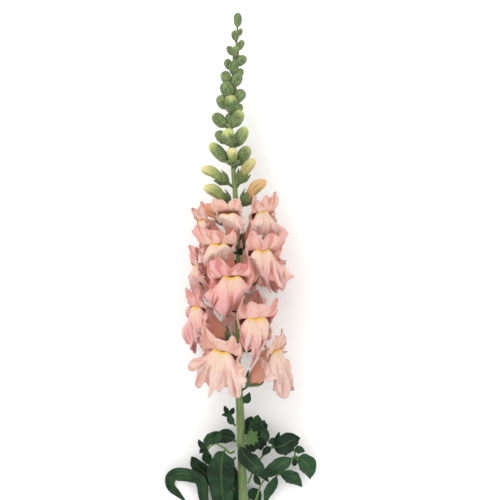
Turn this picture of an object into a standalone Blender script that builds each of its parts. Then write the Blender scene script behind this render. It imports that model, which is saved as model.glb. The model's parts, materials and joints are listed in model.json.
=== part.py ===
"""Cut snapdragon stem, lying on a surface: leafy stalk, spire of closed buds, opening buds and open blooms.

The stalk runs along +Y from its cut end to its tip, and +Z points up from the surface.
Lengths below are in millimetres; the meshes are made in metres.
The working frame has its heights along the stalk from the cut end, and its z from the surface.
"""

import math
import random

import bmesh
import bpy
import numpy as np

MM = 0.001
SEED = 41

# Driving dimensions of the whole stem
STEM_LENGTH = 428.04
ORIGIN_ACROSS = 0.06
PETAL_THICKNESS = 0.7
LEAF_THICKNESS = 0.7
GAP = 0.35
BUD_GAP = 0.45

# Stalk centreline as (across, height along the stalk, above the surface), and its radius by height
STALK_PATH = (
    (3.6, 0, 3.2),
    (1.9, 64, 11),
    (0.8, 101, 17),
    (-0.2, 131, 22),
    (-1.5, 154, 26),
    (-1.9, 191, 30),
    (-1.1, 240, 31.5),
    (-3.4, 289, 33),
    (-5.4, 315, 33.5),
    (-8.2, 350, 34),
    (-5.6, 379, 34.5),
    (-3.0, 402, 35),
    (-1.8, 420, 35),
)
STALK_RADII = (
    (0, 3.4),
    (64, 3.4),
    (140, 3.1),
    (156, 2.3),
    (240, 2.1),
    (300, 1.9),
    (350, 1.3),
    (400, 0.8),
    (420, 0.55),
)
STALK_SIDES = 9
STALK_RINGS = 27
CUT_SLANT = 2.4

# Tube of a bloom: it leaves the calyx steeply and widens to the throat.
# Rows are (distance, top, side, bottom radius)
TUBE_RISE_DEG = 46
TUBE_ROWS = ((1.4, 2.5, 2.5, 2.5), (6.5, 4.4, 4.8, 5.9), (14.5, 5.3, 5.8, 6.2), (22.6, 6.3, 7.2, 6.2))

# Lips of an open bloom: half of a control net, from the throat to the rim.
# Points are (across, outward, along the stalk)
LIPS = {
    "hood_notch": (
        (0, 12.6, 24.4), (0, 17.0, 25.4), (0, 21.6, 25.2),
        (0, 24.4, 29.2), (0, 25.8, 34.4),
    ),
    "hood_lobe": (
        (5.2, 13.2, 24.2), (6.6, 17.6, 25.4), (8.4, 21.8, 26.0),
        (11.0, 25.4, 31.4), (13.0, 26.4, 38.8),
    ),
    "hood_side": (
        (8.4, 14.8, 22.2), (10.9, 17.8, 23.8), (13.8, 20.6, 25.2),
        (17.0, 23.4, 28.0), (20.6, 23.6, 33.2),
    ),
    "mouth_corner": (
        (9.2, 17.0, 19.6), (10.8, 18.6, 20.4), (12.6, 20.0, 20.9),
        (13.2, 21.4, 21.4), (14.6, 22.0, 20.8),
    ),
    "side_lobe_top": (
        (8.8, 18.9, 18.6), (10.2, 21.0, 18.8), (13.2, 23.2, 16.0),
        (16.4, 24.4, 12.6), (19.6, 23.0, 9.2),
    ),
    "side_lobe": (
        (7.0, 20.4, 19.0), (8.2, 22.8, 21.6), (10.4, 25.7, 15.6),
        (12.8, 25.8, 7.2), (15.2, 23.4, -1.2),
    ),
    "lip_notch": (
        (4.4, 20.9, 19.2), (4.7, 23.8, 23.9), (5.0, 27.6, 17.6),
        (5.6, 26.6, 9.8), (6.4, 25.4, 3.6),
    ),
    "middle_lobe": (
        (0, 20.5, 18.6), (0, 23.0, 22.2), (0, 26.8, 15.6),
        (0, 26.0, 5.8), (0, 23.4, -5.2),
    ),
}
# The same five rows in a closed bud, as (distance along the tube, radius)
CLOSED_ROWS = ((25.2, 6.6), (27.6, 6.0), (29.8, 4.8), (31.6, 3.0), (32.6, 0.9))
# Columns of a petal mesh, counted in stations from hood_notch (0) to middle_lobe (7)
HALF_COLUMNS = (0.7, 1.4, 2.2, 3.1, 4.1, 5.1, 6.0)
PETAL_ROWS = (0, 1.4, 2.9, 3.9, 4.7, 5.5, 6.6, 8)

# Open blooms: height of the base, facing round the stalk (0 up from the surface, 90 to +X), size, openness,
# then tilt, turn and roll in degrees
BLOOMS = (
    (255.5, 49, 0.88, 1.0, 5, 0, 4),
    (258.0, -13, 0.80, 0.5, 4, 0, 0),
    (254.0, -70, 0.84, 0.92, 0, 0, 0),
    (231.0, -31, 1.00, 1.0, 0, 4, 0),
    (226.5, 38, 1.02, 1.0, 0, -4, 3),
    (212.5, -80, 1.04, 1.0, 0, 0, 0),
    (207.0, -7, 1.02, 1.0, 0, 0, 3),
    (184.0, -66, 1.04, 1.0, 0, 0, 4),
    (178.0, 28, 1.06, 1.0, 0, -4, 0),
    (156.5, -31, 1.02, 1.0, 0, 4, -10),
    (150.5, 66, 1.04, 1.0, 2, 0, 0),
    (221.0, -146, 0.96, 1.0, 0, 0, 0),
    (226.0, 156, 0.94, 1.0, 0, 0, 0),
    (181.0, 168, 0.94, 1.0, 0, 0, 0),
)
# Room between blooms. A bloom's roof is a plane over its hood, which leans towards the side that the lip of
# a bloom above hangs down on, by a share of the angle between the two
ROOF = 11.9
ROOF_SLACK = 1.5
SIDE_REACH = 12.5
LEAN = 0.9
LEAN_MOST = 55
IN_REACH = 60
ROUNDS = 2
# Blooms level with each other keep to their own wedge
WEDGE_GAP = 1.1
WEDGE_TURN = 120
SIDE_BY_SIDE = 15
SQUEEZE = 0.06
SQUEEZE_BEND = 0.9
WANDER = 0.24
ROOM_ROWS = (1.4, 2.9)

# Calyx: its pedicel leaves the stalk below the bloom and bows outward, and its cup fits round the tube.
# The pistil's rings are (distance along the tube, radius)
PEDICEL_REACH = 5.8
PEDICEL_RADIUS = 0.95
PEDICEL_DROP = 5.0
PEDICEL_BOW = 0.8
CUP_FOOT = 1.2
CUP_FOOT_RADIUS = 1.5
PISTIL = ((0.6, 1.3), (3.6, 1.2), (5.0, 0.45), (19.0, 0.4))
CALYX_COLUMNS = 10
SEPAL_TIP_ROW = 1.3
SEPAL_NOTCH_ROW = 0.55
CALYX_WALL = 0.8
CALYX_CLEARANCE = 1.05

# Opening buds: height of the base, facing, length, width, lean from the stalk in degrees
OPENING_BUDS = (
    (270.0, -118, 34, 10.5, 58),
    (281.0, 78, 31, 9.5, 40),
    (283.0, -76, 28, 9.5, 44),
    (298.0, 68, 26, 8.5, 33),
    (299.0, -72, 28, 8.5, 50),
    (313.0, 2, 19, 9.5, 36),
)
# Petals of an opening bud, two lips folded together at the sides: outline round the bud, then rings as
# (share of the length, share of the width, share of the width that it nods)
BUD_LOBES = (1, 1, 0.9, 1, 1.04, 1, 0.9, 1)
BUD_PETAL_RINGS = (
    (0.27, 0.14, 0),
    (0.36, 0.36, 0),
    (0.52, 0.4, 0),
    (0.68, 0.47, 0.02),
    (0.82, 0.46, 0.12),
    (0.93, 0.32, 0.24),
    (0.99, 0.12, 0.3),
)
# Its calyx, outside and then inside: (share of the length, share of the width, added radius, lobe depth)
BUD_CUP_END = 0.52
BUD_CUP_NOTCH = 0.36
BUD_CUP_RINGS = (
    (0.12, 0, 0.95, 0),
    (0.2, 0.36, 0, 0),
    (0.38, 0.5, 0.75, 0.4),
    (BUD_CUP_END, 0.5, 0.8, 1),
    (BUD_CUP_END, 0.5, 0.15, 1),
    (0.38, 0.5, 0.05, 0.4),
    (0.24, 0.2, 0, 0),
)
# Closed buds, all green: height of the base, facing, length, width, lean from the stalk
CLOSED_BUDS = (
    (313.0, 96, 19, 8.4, 36),
    (316.0, -82, 22, 8.0, 41),
    (328.0, -8, 16, 8.8, 30),
    (327.0, 84, 19, 8.2, 36),
    (331.0, -112, 14, 7.4, 42),
    (343.0, -84, 15, 8.0, 44),
    (342.0, 76, 16, 8.4, 32),
    (345.0, 170, 12, 7.0, 40),
    (352.0, 92, 12, 6.4, 42),
    (354.0, 14, 14, 8.2, 22),
    (356.0, -80, 13, 7.4, 36),
    (361.0, 82, 14, 7.8, 38),
    (365.0, -48, 13, 8.8, 26),
    (368.0, 176, 10, 6.0, 38),
    (373.0, 50, 12, 7.0, 25),
    (374.5, -82, 12, 7.0, 34),
    (379.0, 94, 10.5, 5.4, 32),
    (381.5, -2, 12, 6.4, 16),
    (385.5, -86, 10, 5.4, 36),
    (389.0, 84, 11, 6.2, 38),
    (392.0, 174, 9, 4.6, 32),
    (395.0, -10, 9.5, 5.0, 14),
    (396.5, -86, 9, 4.6, 40),
    (400.0, 84, 10, 4.4, 22),
    (407.0, -40, 9, 5.0, 16),
    (411.0, 84, 7, 3.2, 20),
    (417.0, -10, 12, 5.4, 4),
)
CLOSED_BUD_SIDES = 7
# Rings of a closed bud as (share of the length, share of the width)
CLOSED_BUD_RINGS = ((-0.06, 0.13), (0.13, 0.15), (0.32, 0.45), (0.62, 0.5), (0.92, 0.2))
# Bracts: height, facing and length; their rings are (share of the length, half width as a share of it,
# half thickness)
BRACT_LEAN = 48
BRACT_CURL = 0.25
BRACT_RINGS = ((-0.12, 0.12, 0.6), (0.3, 0.3, 0.5), (0.7, 0.28, 0.45), (1, 0.06, 0.35))
BRACTS = ((143, -72, 7), (136, 80, 9), (168, -20, 6), (198, 60, 6), (240, -100, 6), (248, 20, 6))

# Leaves as (width, roll in degrees, centreline), and leafy shoots as (twig centreline, leaves)
PETIOLE_WIDTH = 1.8
PETIOLE_SHARE = 0.12
PETIOLE_TAPER = 0.55
LEAF_FOLD = 0.28
SMALL_LEAF = 10.5
TWIG_RADIUS = 0.9
TWIG_TAPER = 0.25
TWIG_SIDES = 5
TWIG_TOP = (0.2, 0, 1.0)
LEAVES = {
    "leaf_crossing": (12, 6, ((-2.2, 105, 22), (4, 96, 25), (12, 88, 26), (21.5, 76, 21.5))),
    "leaf_under": (14, 8, ((-3.6, 93, 12), (-8, 86, 9), (-7.5, 72, 4), (-6.5, 54, 0), (-6.5, 36, -2))),
    "leaf_left": (12, -12, ((-4.2, 68, 9.5), (-13.5, 73.5, 9.5), (-26, 79, 8), (-34, 87, 6), (-37.5, 92, 3))),
    "leaf_left_arched": (
        10.5,
        -24,
        (
            (-1.6, 30, 4.4),
            (-15, 42, 4),
            (-27, 58, 8),
            (-29, 73, 12),
            (-34, 79, 13),
            (-45, 80.5, 10),
            (-53, 77, 6),
            (-54, 69, 2.5),
            (-48, 62, -0.5),
            (-41, 56, -1.5),
        ),
    ),
    "leaf_left_low": (9, 0, ((-2.4, 46, 7), (-9, 50, 5.4), (-18, 60, 3.4), (-22, 75, -0.5))),
    "leaf_behind": (10, 14, ((-3.2, 105, 14.5), (-8, 108, 12), (-14, 108, 9), (-19.5, 102, 5.5))),
    "leaf_right_low": (8, -10, ((5.8, 58, 7.5), (9.5, 64, 5.5), (12.5, 61, 3), (14, 51, -1))),
}
SHOOTS = {
    "shoot_left_small": (
        ((-3.6, 118, 20), (-6, 121, 21), (-8.3, 126.5, 21.5)),
        (
            (4.5, 10, ((-4.2, 119, 22), (-7.4, 123, 23), (-8.4, 129, 22))),
            (3, 0, ((-8, 126, 21.5), (-10.6, 130, 21), (-12, 133, 20))),
            (2.4, 0, ((-8, 125.5, 21.5), (-11, 126.5, 20.5), (-14, 126, 19))),
            (3, 0, ((-8, 126, 21.5), (-6, 129.5, 22.5), (-5, 132, 22.5))),
        ),
    ),
    "shoot_left": (
        ((-4.4, 98, 18), (-8, 97.5, 20.5), (-11.5, 101, 23.5), (-18, 104.5, 23), (-25, 101, 20)),
        (
            (19, -8, ((-11, 100.5, 23), (-13.5, 95, 23), (-14.5, 80, 19), (-13, 60, 14), (-11, 38, 9))),
            (9, 10, ((-24.5, 101.5, 20.2), (-24, 106, 21), (-19.5, 110, 20.5), (-14, 112.5, 17))),
            (4.4, 0, ((-24, 101.2, 20), (-28, 99.5, 18), (-31, 96.5, 14.5))),
            (6.5, -20, ((-24, 101.2, 20), (-26, 96, 18), (-24.5, 91, 14.5), (-20, 86, 12.5))),
        ),
    ),
    "shoot_right_inner": (
        ((5.2, 105, 18.5), (8, 109, 20.5), (11, 113.5, 22)),
        (
            (9.5, 0, ((9.5, 111.5, 21), (12, 118, 19.5), (13.5, 125.5, 15))),
            (5, 0, ((10, 112, 22), (12, 117, 25.5), (14.5, 121.5, 26.5))),
            (7.5, 14, ((10, 112, 21.5), (15.5, 114.5, 24), (19, 111.5, 24.5), (21, 106.5, 23.5))),
            (9, 0, ((9, 110, 20.5), (13.5, 104.5, 18), (16.5, 99, 13.5))),
        ),
    ),
    "shoot_right": (
        (
            (6.1, 73, 12),
            (8, 78, 13),
            (13.5, 89.5, 15),
            (24, 101.5, 16.5),
            (33, 104, 14.5),
            (40.5, 100, 14.5),
            (42, 93, 16),
        ),
        (
            (3.4, 0, ((26, 102, 16.5), (28, 107.5, 19), (29.6, 113, 18))),
            (5, 0, ((28, 103, 16), (25, 106, 19), (21.5, 105, 20))),
            (14, -8, ((23.5, 101, 16.5), (31, 102.5, 21), (38, 106.5, 21), (45.5, 107.5, 16))),
            (10, 8, ((42, 94, 16), (33, 89.5, 18.5), (24, 84, 18), (16, 77, 14.5))),
            (12.5, -14, ((42, 94, 16), (48, 91, 18), (52.5, 85, 15.5), (54, 76, 9))),
            (3.4, 0, ((42, 94.5, 15.6), (41.6, 89, 13), (40.5, 86, 10.5))),
        ),
    ),
    "shoot_right_low": (
        ((6.9, 48, 9), (12, 60, 10), (15.5, 71, 11.5), (21, 78, 12), (29, 80, 11)),
        (
            (9.5, 10, ((28, 80, 11.2), (36, 79, 11), (42, 75.5, 8.5), (47.5, 69, 5))),
            (6.5, 0, ((28.5, 80.2, 11.4), (25.5, 72.5, 10), (21, 64, 6), (19, 55, 2.6))),
        ),
    ),
}


def smooth_lookup(table, height, column):
    """Value of one column of a table at a height, on a smooth curve through its rows."""
    heights = [row[0] for row in table]
    values = [row[column] for row in table]
    k = min(max(int(np.searchsorted(heights, height)) - 1, 0), len(heights) - 2)
    span = heights[k + 1] - heights[k]
    t = min(max((height - heights[k]) / span, 0.0), 1.0)

    def slope(i):
        low, high = max(i - 1, 0), min(i + 1, len(heights) - 1)
        return (values[high] - values[low]) / (heights[high] - heights[low])

    rise = values[k + 1] - values[k]
    a = slope(k) * span - rise
    b = rise - slope(k + 1) * span
    return values[k] + t * rise + t * (1 - t) * ((1 - t) * a + t * b)


def unit(vector):
    """The vector at length 1."""
    vector = np.asarray(vector, float)
    return vector / np.linalg.norm(vector)


def stalk_point(height):
    """Point on the stalk's centreline."""
    by_height = [(h, x, z) for x, h, z in STALK_PATH]
    return np.array([smooth_lookup(by_height, height, 1), height, smooth_lookup(by_height, height, 2)])


def stalk_direction(height):
    """Direction of the stalk, towards its tip."""
    return unit(stalk_point(height + 1) - stalk_point(height - 1))


def stalk_radius(height):
    """Radius of the stalk."""
    return smooth_lookup(STALK_RADII, height, 1)


def facing_frame(height, facing_deg):
    """(across, outward, along) for something that faces that way round the stalk."""
    along = stalk_direction(height)
    angle = math.radians(facing_deg)
    outward = np.array([math.sin(angle), 0, math.cos(angle)])
    outward = unit(outward - along * (outward @ along))
    return np.cross(outward, along), outward, along


def turned(vector, axis, degrees):
    """The vector turned about an axis."""
    angle = math.radians(degrees)
    axis = unit(axis)
    return (
        vector * math.cos(angle)
        + np.cross(axis, vector) * math.sin(angle)
        + axis * (axis @ vector) * (1 - math.cos(angle))
    )


def through(points, position):
    """Point at a position, counted in points, on a Catmull-Rom curve through them."""
    points = np.asarray(points, float)
    k = min(int(position), len(points) - 2)
    t = position - k
    before = points[k - 1] if k > 0 else 2 * points[0] - points[1]
    after = points[k + 2] if k + 2 < len(points) else 2 * points[-1] - points[-2]
    p, q = points[k], points[k + 1]
    bend = 2 * before - 5 * p + 4 * q - after
    twist = 3 * p - before - 3 * q + after
    return p + 0.5 * ((q - before) * t + bend * t**2 + twist * t**3)


def pressed(points, thickness):
    """Points that would be under the surface are laid flat on it, with a soft bend above."""
    knee = 1.2
    low = thickness / 2
    points = np.array(points, float)
    over = points[..., 2] - low
    bend = (over + knee) ** 2 / (4 * knee)
    points[..., 2] = low + np.where(over < -knee, 0, np.where(over < knee, bend, over))
    return points


def material(name, color, roughness):
    """A plain material with one colour."""
    made = bpy.data.materials.get(name) or bpy.data.materials.new(name)
    made.use_nodes = True
    made.diffuse_color = (*color, 1)
    shader = made.node_tree.nodes["Principled BSDF"]
    shader.inputs["Base Color"].default_value = (*color, 1)
    shader.inputs["Roughness"].default_value = roughness
    shader.inputs["Metallic"].default_value = 0
    return made


def mesh_object(name, points, faces, look):
    """A linked, smooth shaded object with this mesh. Points are in the working frame."""
    points = np.array(points, float) - (ORIGIN_ACROSS, STEM_LENGTH / 2, 0)
    mesh = bpy.data.meshes.new(name)
    mesh.from_pydata((points * MM).tolist(), [], faces)
    mesh.materials.append(look)
    mesh.shade_smooth()
    made = bpy.data.objects.new(name, mesh)
    bpy.context.scene.collection.objects.link(made)
    return made


def grid_faces(rows, columns, wrap, triangles):
    """Faces of a grid of points that is stored row by row."""
    faces = []
    for i in range(rows - 1):
        for j in range(columns if wrap else columns - 1):
            a, b = i * columns + j, i * columns + (j + 1) % columns
            c, d = b + columns, a + columns
            faces += [(a, b, c), (a, c, d)] if triangles else [(a, b, c, d)]
    return faces


def sheet_object(name, grid, wrap, thickness, look):
    """A thin sheet made solid, half of the thickness to each side and with triangles alike on both faces."""
    rows, columns = grid.shape[:2]
    made = mesh_object(name, grid.reshape(-1, 3), grid_faces(rows, columns, wrap, True), look)
    wall = made.modifiers.new("thickness", "SOLIDIFY")
    wall.thickness = thickness * MM
    wall.offset = 0
    return made


def lathe_object(name, rings, look):
    """A closed solid through rings of points, with a point at each end."""
    rings = [np.asarray(ring, float) for ring in rings]
    columns = len(rings[0])
    points = np.vstack([*rings, rings[0].mean(0), rings[-1].mean(0)])
    faces = grid_faces(len(rings), columns, True, True)
    start, end, last = len(points) - 2, len(points) - 1, (len(rings) - 1) * columns
    for j in range(columns):
        following = (j + 1) % columns
        faces.append((start, following, j))
        faces.append((end, last + j, last + following))
    made = mesh_object(name, points, faces, look)
    shape = bmesh.new()
    shape.from_mesh(made.data)
    if shape.calc_volume(signed=True) < 0:
        bmesh.ops.reverse_faces(shape, faces=shape.faces)
    shape.to_mesh(made.data)
    shape.free()
    return made


def ring_points(centre, direction, top, radii):
    """A ring round a centre. The first radius is on the side of top, and the others follow evenly."""
    direction = unit(direction)
    up = unit(top - direction * (top @ direction))
    side = np.cross(direction, up)
    angles = [2 * math.pi * j / len(radii) for j in range(len(radii))]
    return np.array([centre + r * (math.cos(a) * up + math.sin(a) * side) for a, r in zip(angles, radii)])


def fused(base, others, name):
    """Base joined with the other solids by one Boolean union. The others are removed."""
    parts = bpy.data.collections.new(name + "_parts")
    bpy.context.scene.collection.children.link(parts)
    for other in others:
        parts.objects.link(other)
        bpy.context.scene.collection.objects.unlink(other)
    union = base.modifiers.new("union", "BOOLEAN")
    union.operation = "UNION"
    union.operand_type = "COLLECTION"
    union.collection = parts
    union.solver = "MANIFOLD"
    bpy.context.view_layer.update()
    joined = bpy.data.meshes.new_from_object(base.evaluated_get(bpy.context.evaluated_depsgraph_get()))
    base.modifiers.clear()
    base.data = joined
    base.name = name
    for other in others:
        bpy.data.objects.remove(other)
    bpy.data.collections.remove(parts)
    return base


# Blooms


def tube_direction():
    """Direction of a bloom's tube in its own frame of (across, outward, along)."""
    rise = math.radians(TUBE_RISE_DEG)
    return np.array([0, math.cos(rise), math.sin(rise)])


def tube_point(distance, angle, top, side, bottom, extra=0.0):
    """Point on the tube of a bloom; the angle is 0 on the side of the stalk and pi below."""
    direction = tube_direction()
    up = np.array([0, -direction[2], direction[1]])
    vertical = (top if math.cos(angle) > 0 else bottom) + extra
    across = np.array([1.0, 0, 0])
    return direction * distance + vertical * math.cos(angle) * up + (side + extra) * math.sin(angle) * across


def tube_row(row):
    """(distance, top, side, bottom radius) of the tube at a row, which may lie between two of the table's."""
    return through(TUBE_ROWS, max(row, 0.0)) if row > 0 else np.array(TUBE_ROWS[0])


def station_angle(station):
    """Angle round the tube that belongs to a station of the lips' control net."""
    return math.pi * station / (len(LIPS) - 1)


def corolla_net(openness, rng):
    """Control net of a bloom's petals: a column of points for each station, from tube base to rim."""
    names = list(LIPS)
    half = len(names) - 1
    columns = []
    for position in range(2 * half):
        station = position if position <= half else 2 * half - position
        mirror = 1 if position <= half else -1
        angle = station_angle(station) * mirror
        column = [tube_point(row[0], angle, *row[1:]) for row in TUBE_ROWS]
        spread = openness**0.8
        for k, (point, (distance, radius)) in enumerate(zip(LIPS[names[station]], CLOSED_ROWS)):
            open_point = np.array(point, float) * (mirror, 1, 1)
            closed_point = tube_point(distance, angle, radius, radius, radius)
            wander = np.array([rng.gauss(0, 1), rng.gauss(0, 1), rng.gauss(0, 1)]) * WANDER * k
            column.append(closed_point + (open_point - closed_point) * spread + wander * openness)
        columns.append(column)
    return np.array(columns)


def corolla_grid(net, columns, rows):
    """Points of the petals, row by row, on a smooth surface through the control net."""
    around = len(net)
    grid = np.empty((len(rows), len(columns), 3))
    for j, position in enumerate(columns):
        k = int(math.floor(position))
        near = [net[(k + n) % around] for n in (-1, 0, 1, 2)]
        column = [through([p[row] for p in near], 1 + position - k) for row in range(net.shape[1])]
        for i, row in enumerate(rows):
            grid[i, j] = through(column, row)
    return grid


def all_columns():
    """Columns right round a bloom, counted in stations."""
    half = len(LIPS) - 1
    return [0, *HALF_COLUMNS, half, *(2 * half - c for c in reversed(HALF_COLUMNS))]


def bloom_frame(height, facing, size, tilt, turn, roll):
    """(base point, across, outward, along) of a bloom, with its size in the three axes."""
    across, outward, along = facing_frame(height, facing)
    base = stalk_point(height) + outward * (stalk_radius(height) + PEDICEL_REACH)
    outward, along = turned(outward, across, tilt), turned(along, across, tilt)
    across, outward = turned(across, along, turn), turned(outward, along, turn)
    across, along = turned(across, outward, roll), turned(along, outward, roll)
    return base, size * across, size * outward, size * along


def placed(points, frame):
    """Points of a bloom's own frame in the working frame."""
    base, across, outward, along = frame
    return base + points @ np.array([across, outward, along])


def held_above(points, plane_point, normal, share):
    """Points held on one side of a plane, as petals bend where they meet others. Share is 0 to 1."""
    depth = (points - plane_point) @ normal
    soft = SQUEEZE_BEND * np.logaddexp(0, depth / SQUEEZE_BEND)
    kept = SQUEEZE * depth + (1 - SQUEEZE) * soft
    return points + ((kept - depth) * share)[..., None] * normal


def roof(bloom):
    """(point, normal) of the plane over a bloom's hood."""
    base, _, outward, along = bloom_frame(*bloom[:3], *bloom[4:])
    rise = math.radians(TUBE_RISE_DEG)
    normal = unit(along * math.cos(rise) - outward * math.sin(rise))
    return base + normal * ROOF * bloom[2], normal


def angle_between(a, b):
    """Signed turn from facing a to facing b, from -180 to 180."""
    return (b - a + 180) % 360 - 180


def plane_between(upper, lower):
    """(point, normal) of a lower bloom's roof, leaning to the side that the upper one hangs down on."""
    base, across, _, _ = bloom_frame(*lower[:3], *lower[4:])
    turn = angle_between(lower[1], upper[1])
    lean = math.radians(min(abs(turn) * LEAN, LEAN_MOST))
    sideways = unit(across) * (-1 if turn > 0 else 1)
    normal = roof(lower)[1] * math.cos(lean) + sideways * math.sin(lean)
    return base + normal * (ROOF * math.cos(lean) + SIDE_REACH * math.sin(lean)) * lower[2], normal


def wedge_side(bloom, turn):
    """(point, normal) of the plane along the stalk between a bloom and one that is level with it."""
    middle = math.radians(bloom[1] + turn / 2)
    across = np.array([math.cos(middle), 0, -math.sin(middle)]) * (-1 if turn > 0 else 1)
    along = stalk_direction(bloom[0])
    across = unit(across - along * (across @ along))
    return stalk_point(bloom[0]) + across * WEDGE_GAP, across


def given_room(grid, bloom, share):
    """A bloom's points, bent over the hoods below it and aside from the blooms level with it."""
    point, normal = roof(bloom)
    grid = held_above(grid, point - normal * ROOF_SLACK, -normal, share)
    others = [other for other in BLOOMS if other != bloom and abs(bloom[0] - other[0]) <= IN_REACH]
    for other in others * ROUNDS:
        rise = bloom[0] - other[0]
        turn = angle_between(bloom[1], other[1])
        if abs(rise) < SIDE_BY_SIDE:
            if abs(turn) < WEDGE_TURN:
                grid = held_above(grid, *wedge_side(bloom, turn), share)
        elif rise > 0:
            grid = held_above(grid, *plane_between(bloom, other), share)
        else:
            point, normal = plane_between(other, bloom)
            grid = held_above(grid, point - normal * ROOF_SLACK, -normal, share)
    return grid


def make_corolla(name, bloom, rng, look):
    """Tube, hood, palate and lower lip of one bloom: a single folded sheet, as it grows."""
    net = corolla_net(bloom[3], rng)
    grid = placed(corolla_grid(net, all_columns(), PETAL_ROWS), bloom_frame(*bloom[:3], *bloom[4:]))
    first, full = ROOM_ROWS
    share = np.clip((np.array(PETAL_ROWS) - first) / (full - first), 0, 1)[:, None]
    grid = pressed(given_room(grid, bloom, share), PETAL_THICKNESS)
    return sheet_object(name, grid, True, PETAL_THICKNESS, look)


def make_calyx(name, bloom, look):
    """Pedicel, five sepals round the tube's base, and the pistil inside it, which grow as one piece."""
    height, facing, size = bloom[:3]
    frame = bloom_frame(*bloom[:3], *bloom[4:])
    direction = tube_direction() @ np.array(frame[1:]) / size
    inward = -unit(frame[2])
    start_height = height - PEDICEL_DROP
    _, start_outward, _ = facing_frame(start_height, facing)
    start = stalk_point(start_height) + start_outward * (stalk_radius(start_height) + GAP)
    below = frame[0] - direction * CUP_FOOT
    middle = (start + below) / 2 + start_outward * PEDICEL_BOW
    thin = [PEDICEL_RADIUS] * CALYX_COLUMNS
    rings = [
        ring_points(start, start_outward, stalk_direction(height), thin),
        ring_points(middle, below - start, inward, thin),
        ring_points(below, direction, inward, [CUP_FOOT_RADIUS] * CALYX_COLUMNS),
    ]
    angles = [2 * math.pi * j / CALYX_COLUMNS for j in range(CALYX_COLUMNS)]
    ends = [SEPAL_TIP_ROW if j % 2 == 0 else SEPAL_NOTCH_ROW for j in range(CALYX_COLUMNS)]

    def cup(share, extra):
        """Ring of the cup at a share of each column's length, set off from the tube."""
        points = []
        for angle, end in zip(angles, ends):
            distance, top, side, bottom = tube_row(end * share)
            points.append(tube_point(distance, angle, top, side, bottom, extra / size))
        return placed(np.array(points), frame)

    outside = CALYX_CLEARANCE + CALYX_WALL
    rings += [cup(0, outside), cup(0.5, outside), cup(1, outside)]
    rings += [cup(1, CALYX_CLEARANCE), cup(0, CALYX_CLEARANCE)]
    for distance, radius in PISTIL:
        centre = placed(distance * tube_direction(), frame)
        rings.append(ring_points(centre, direction, inward, [radius] * CALYX_COLUMNS))
    return lathe_object(name, rings, look)


# Buds


def bud_frame(height, facing, lean):
    """(root point on the stalk's surface, direction of the bud, side towards the stalk)."""
    _, outward, along = facing_frame(height, facing)
    angle = math.radians(lean)
    direction = outward * math.sin(angle) + along * math.cos(angle)
    inward = along * math.sin(angle) - outward * math.cos(angle)
    return stalk_point(height) + outward * stalk_radius(height), direction, inward


def make_closed_bud(bud, look):
    """A closed bud on its short pedicel, wrapped in its sepals. Its root is inside the stalk."""
    height, facing, length, width, lean = bud
    root, direction, inward = bud_frame(height, facing, lean)
    rings = []
    for share, radius in CLOSED_BUD_RINGS:
        centre = root + direction * length * share
        rings.append(ring_points(centre, direction, inward, [width * radius] * CLOSED_BUD_SIDES))
    return lathe_object("closed_bud", rings, look)


def make_opening_bud(number, bud, green, pink):
    """Calyx cup with its pedicel, and the two-lipped petal tip that stands out of it."""
    height, facing, length, width, lean = bud
    root, direction, inward = bud_frame(height, facing, lean)
    _, outward, _ = facing_frame(height, facing)
    root = root + outward * BUD_GAP
    calyx = [ring_points(root, outward, direction, [PEDICEL_RADIUS] * CALYX_COLUMNS)]
    for share, wide, added, lobed in BUD_CUP_RINGS:
        centre = root + direction * length * share
        ring = ring_points(centre, direction, inward, [width * wide + added] * CALYX_COLUMNS)
        ring[1::2] -= direction * length * lobed * (BUD_CUP_END - BUD_CUP_NOTCH)
        calyx.append(ring)
    lathe_object(f"bud_calyx_{number:02d}", calyx, green)
    petals = []
    for share, wide, nod in BUD_PETAL_RINGS:
        centre = root + direction * length * share - inward * width * nod
        petals.append(ring_points(centre, direction, inward, [width * wide * lobe for lobe in BUD_LOBES]))
    lathe_object(f"bud_petals_{number:02d}", petals, pink)


# Stalk


def make_bract(bract, look):
    """A small leaf under a pedicel, with its root inside the stalk."""
    height, facing, length = bract
    root, direction, inward = bud_frame(height, facing, BRACT_LEAN)
    rings = []
    for share, wide, thick in BRACT_RINGS:
        centre = root + direction * length * share + inward * length * BRACT_CURL * share**2
        side = length * wide
        rings.append(ring_points(centre, direction, inward, [thick, side, thick, side]))
    return lathe_object("bract", rings, look)


def make_stalk(look):
    """The stalk from its slanted cut to its tip, fused with its closed buds and bracts."""
    rings = []
    for i in range(STALK_RINGS):
        height = STALK_PATH[-1][1] * i / (STALK_RINGS - 1)
        radius = stalk_radius(height)
        centre = stalk_point(height)
        ring = ring_points(centre, stalk_direction(height), np.array([0, 0, 1.0]), [radius] * STALK_SIDES)
        if i == 0:
            ring[:, 1] += (ring[:, 0] - STALK_PATH[0][0]) / radius * CUT_SLANT / 2 + CUT_SLANT / 2
        rings.append(ring)
    stalk = lathe_object("stalk", rings, look)
    repeats = [make_closed_bud(bud, look) for bud in CLOSED_BUDS]
    repeats += [make_bract(bract, look) for bract in BRACTS]
    return fused(stalk, repeats, "stalk_with_closed_buds")


# Leaves


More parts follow.
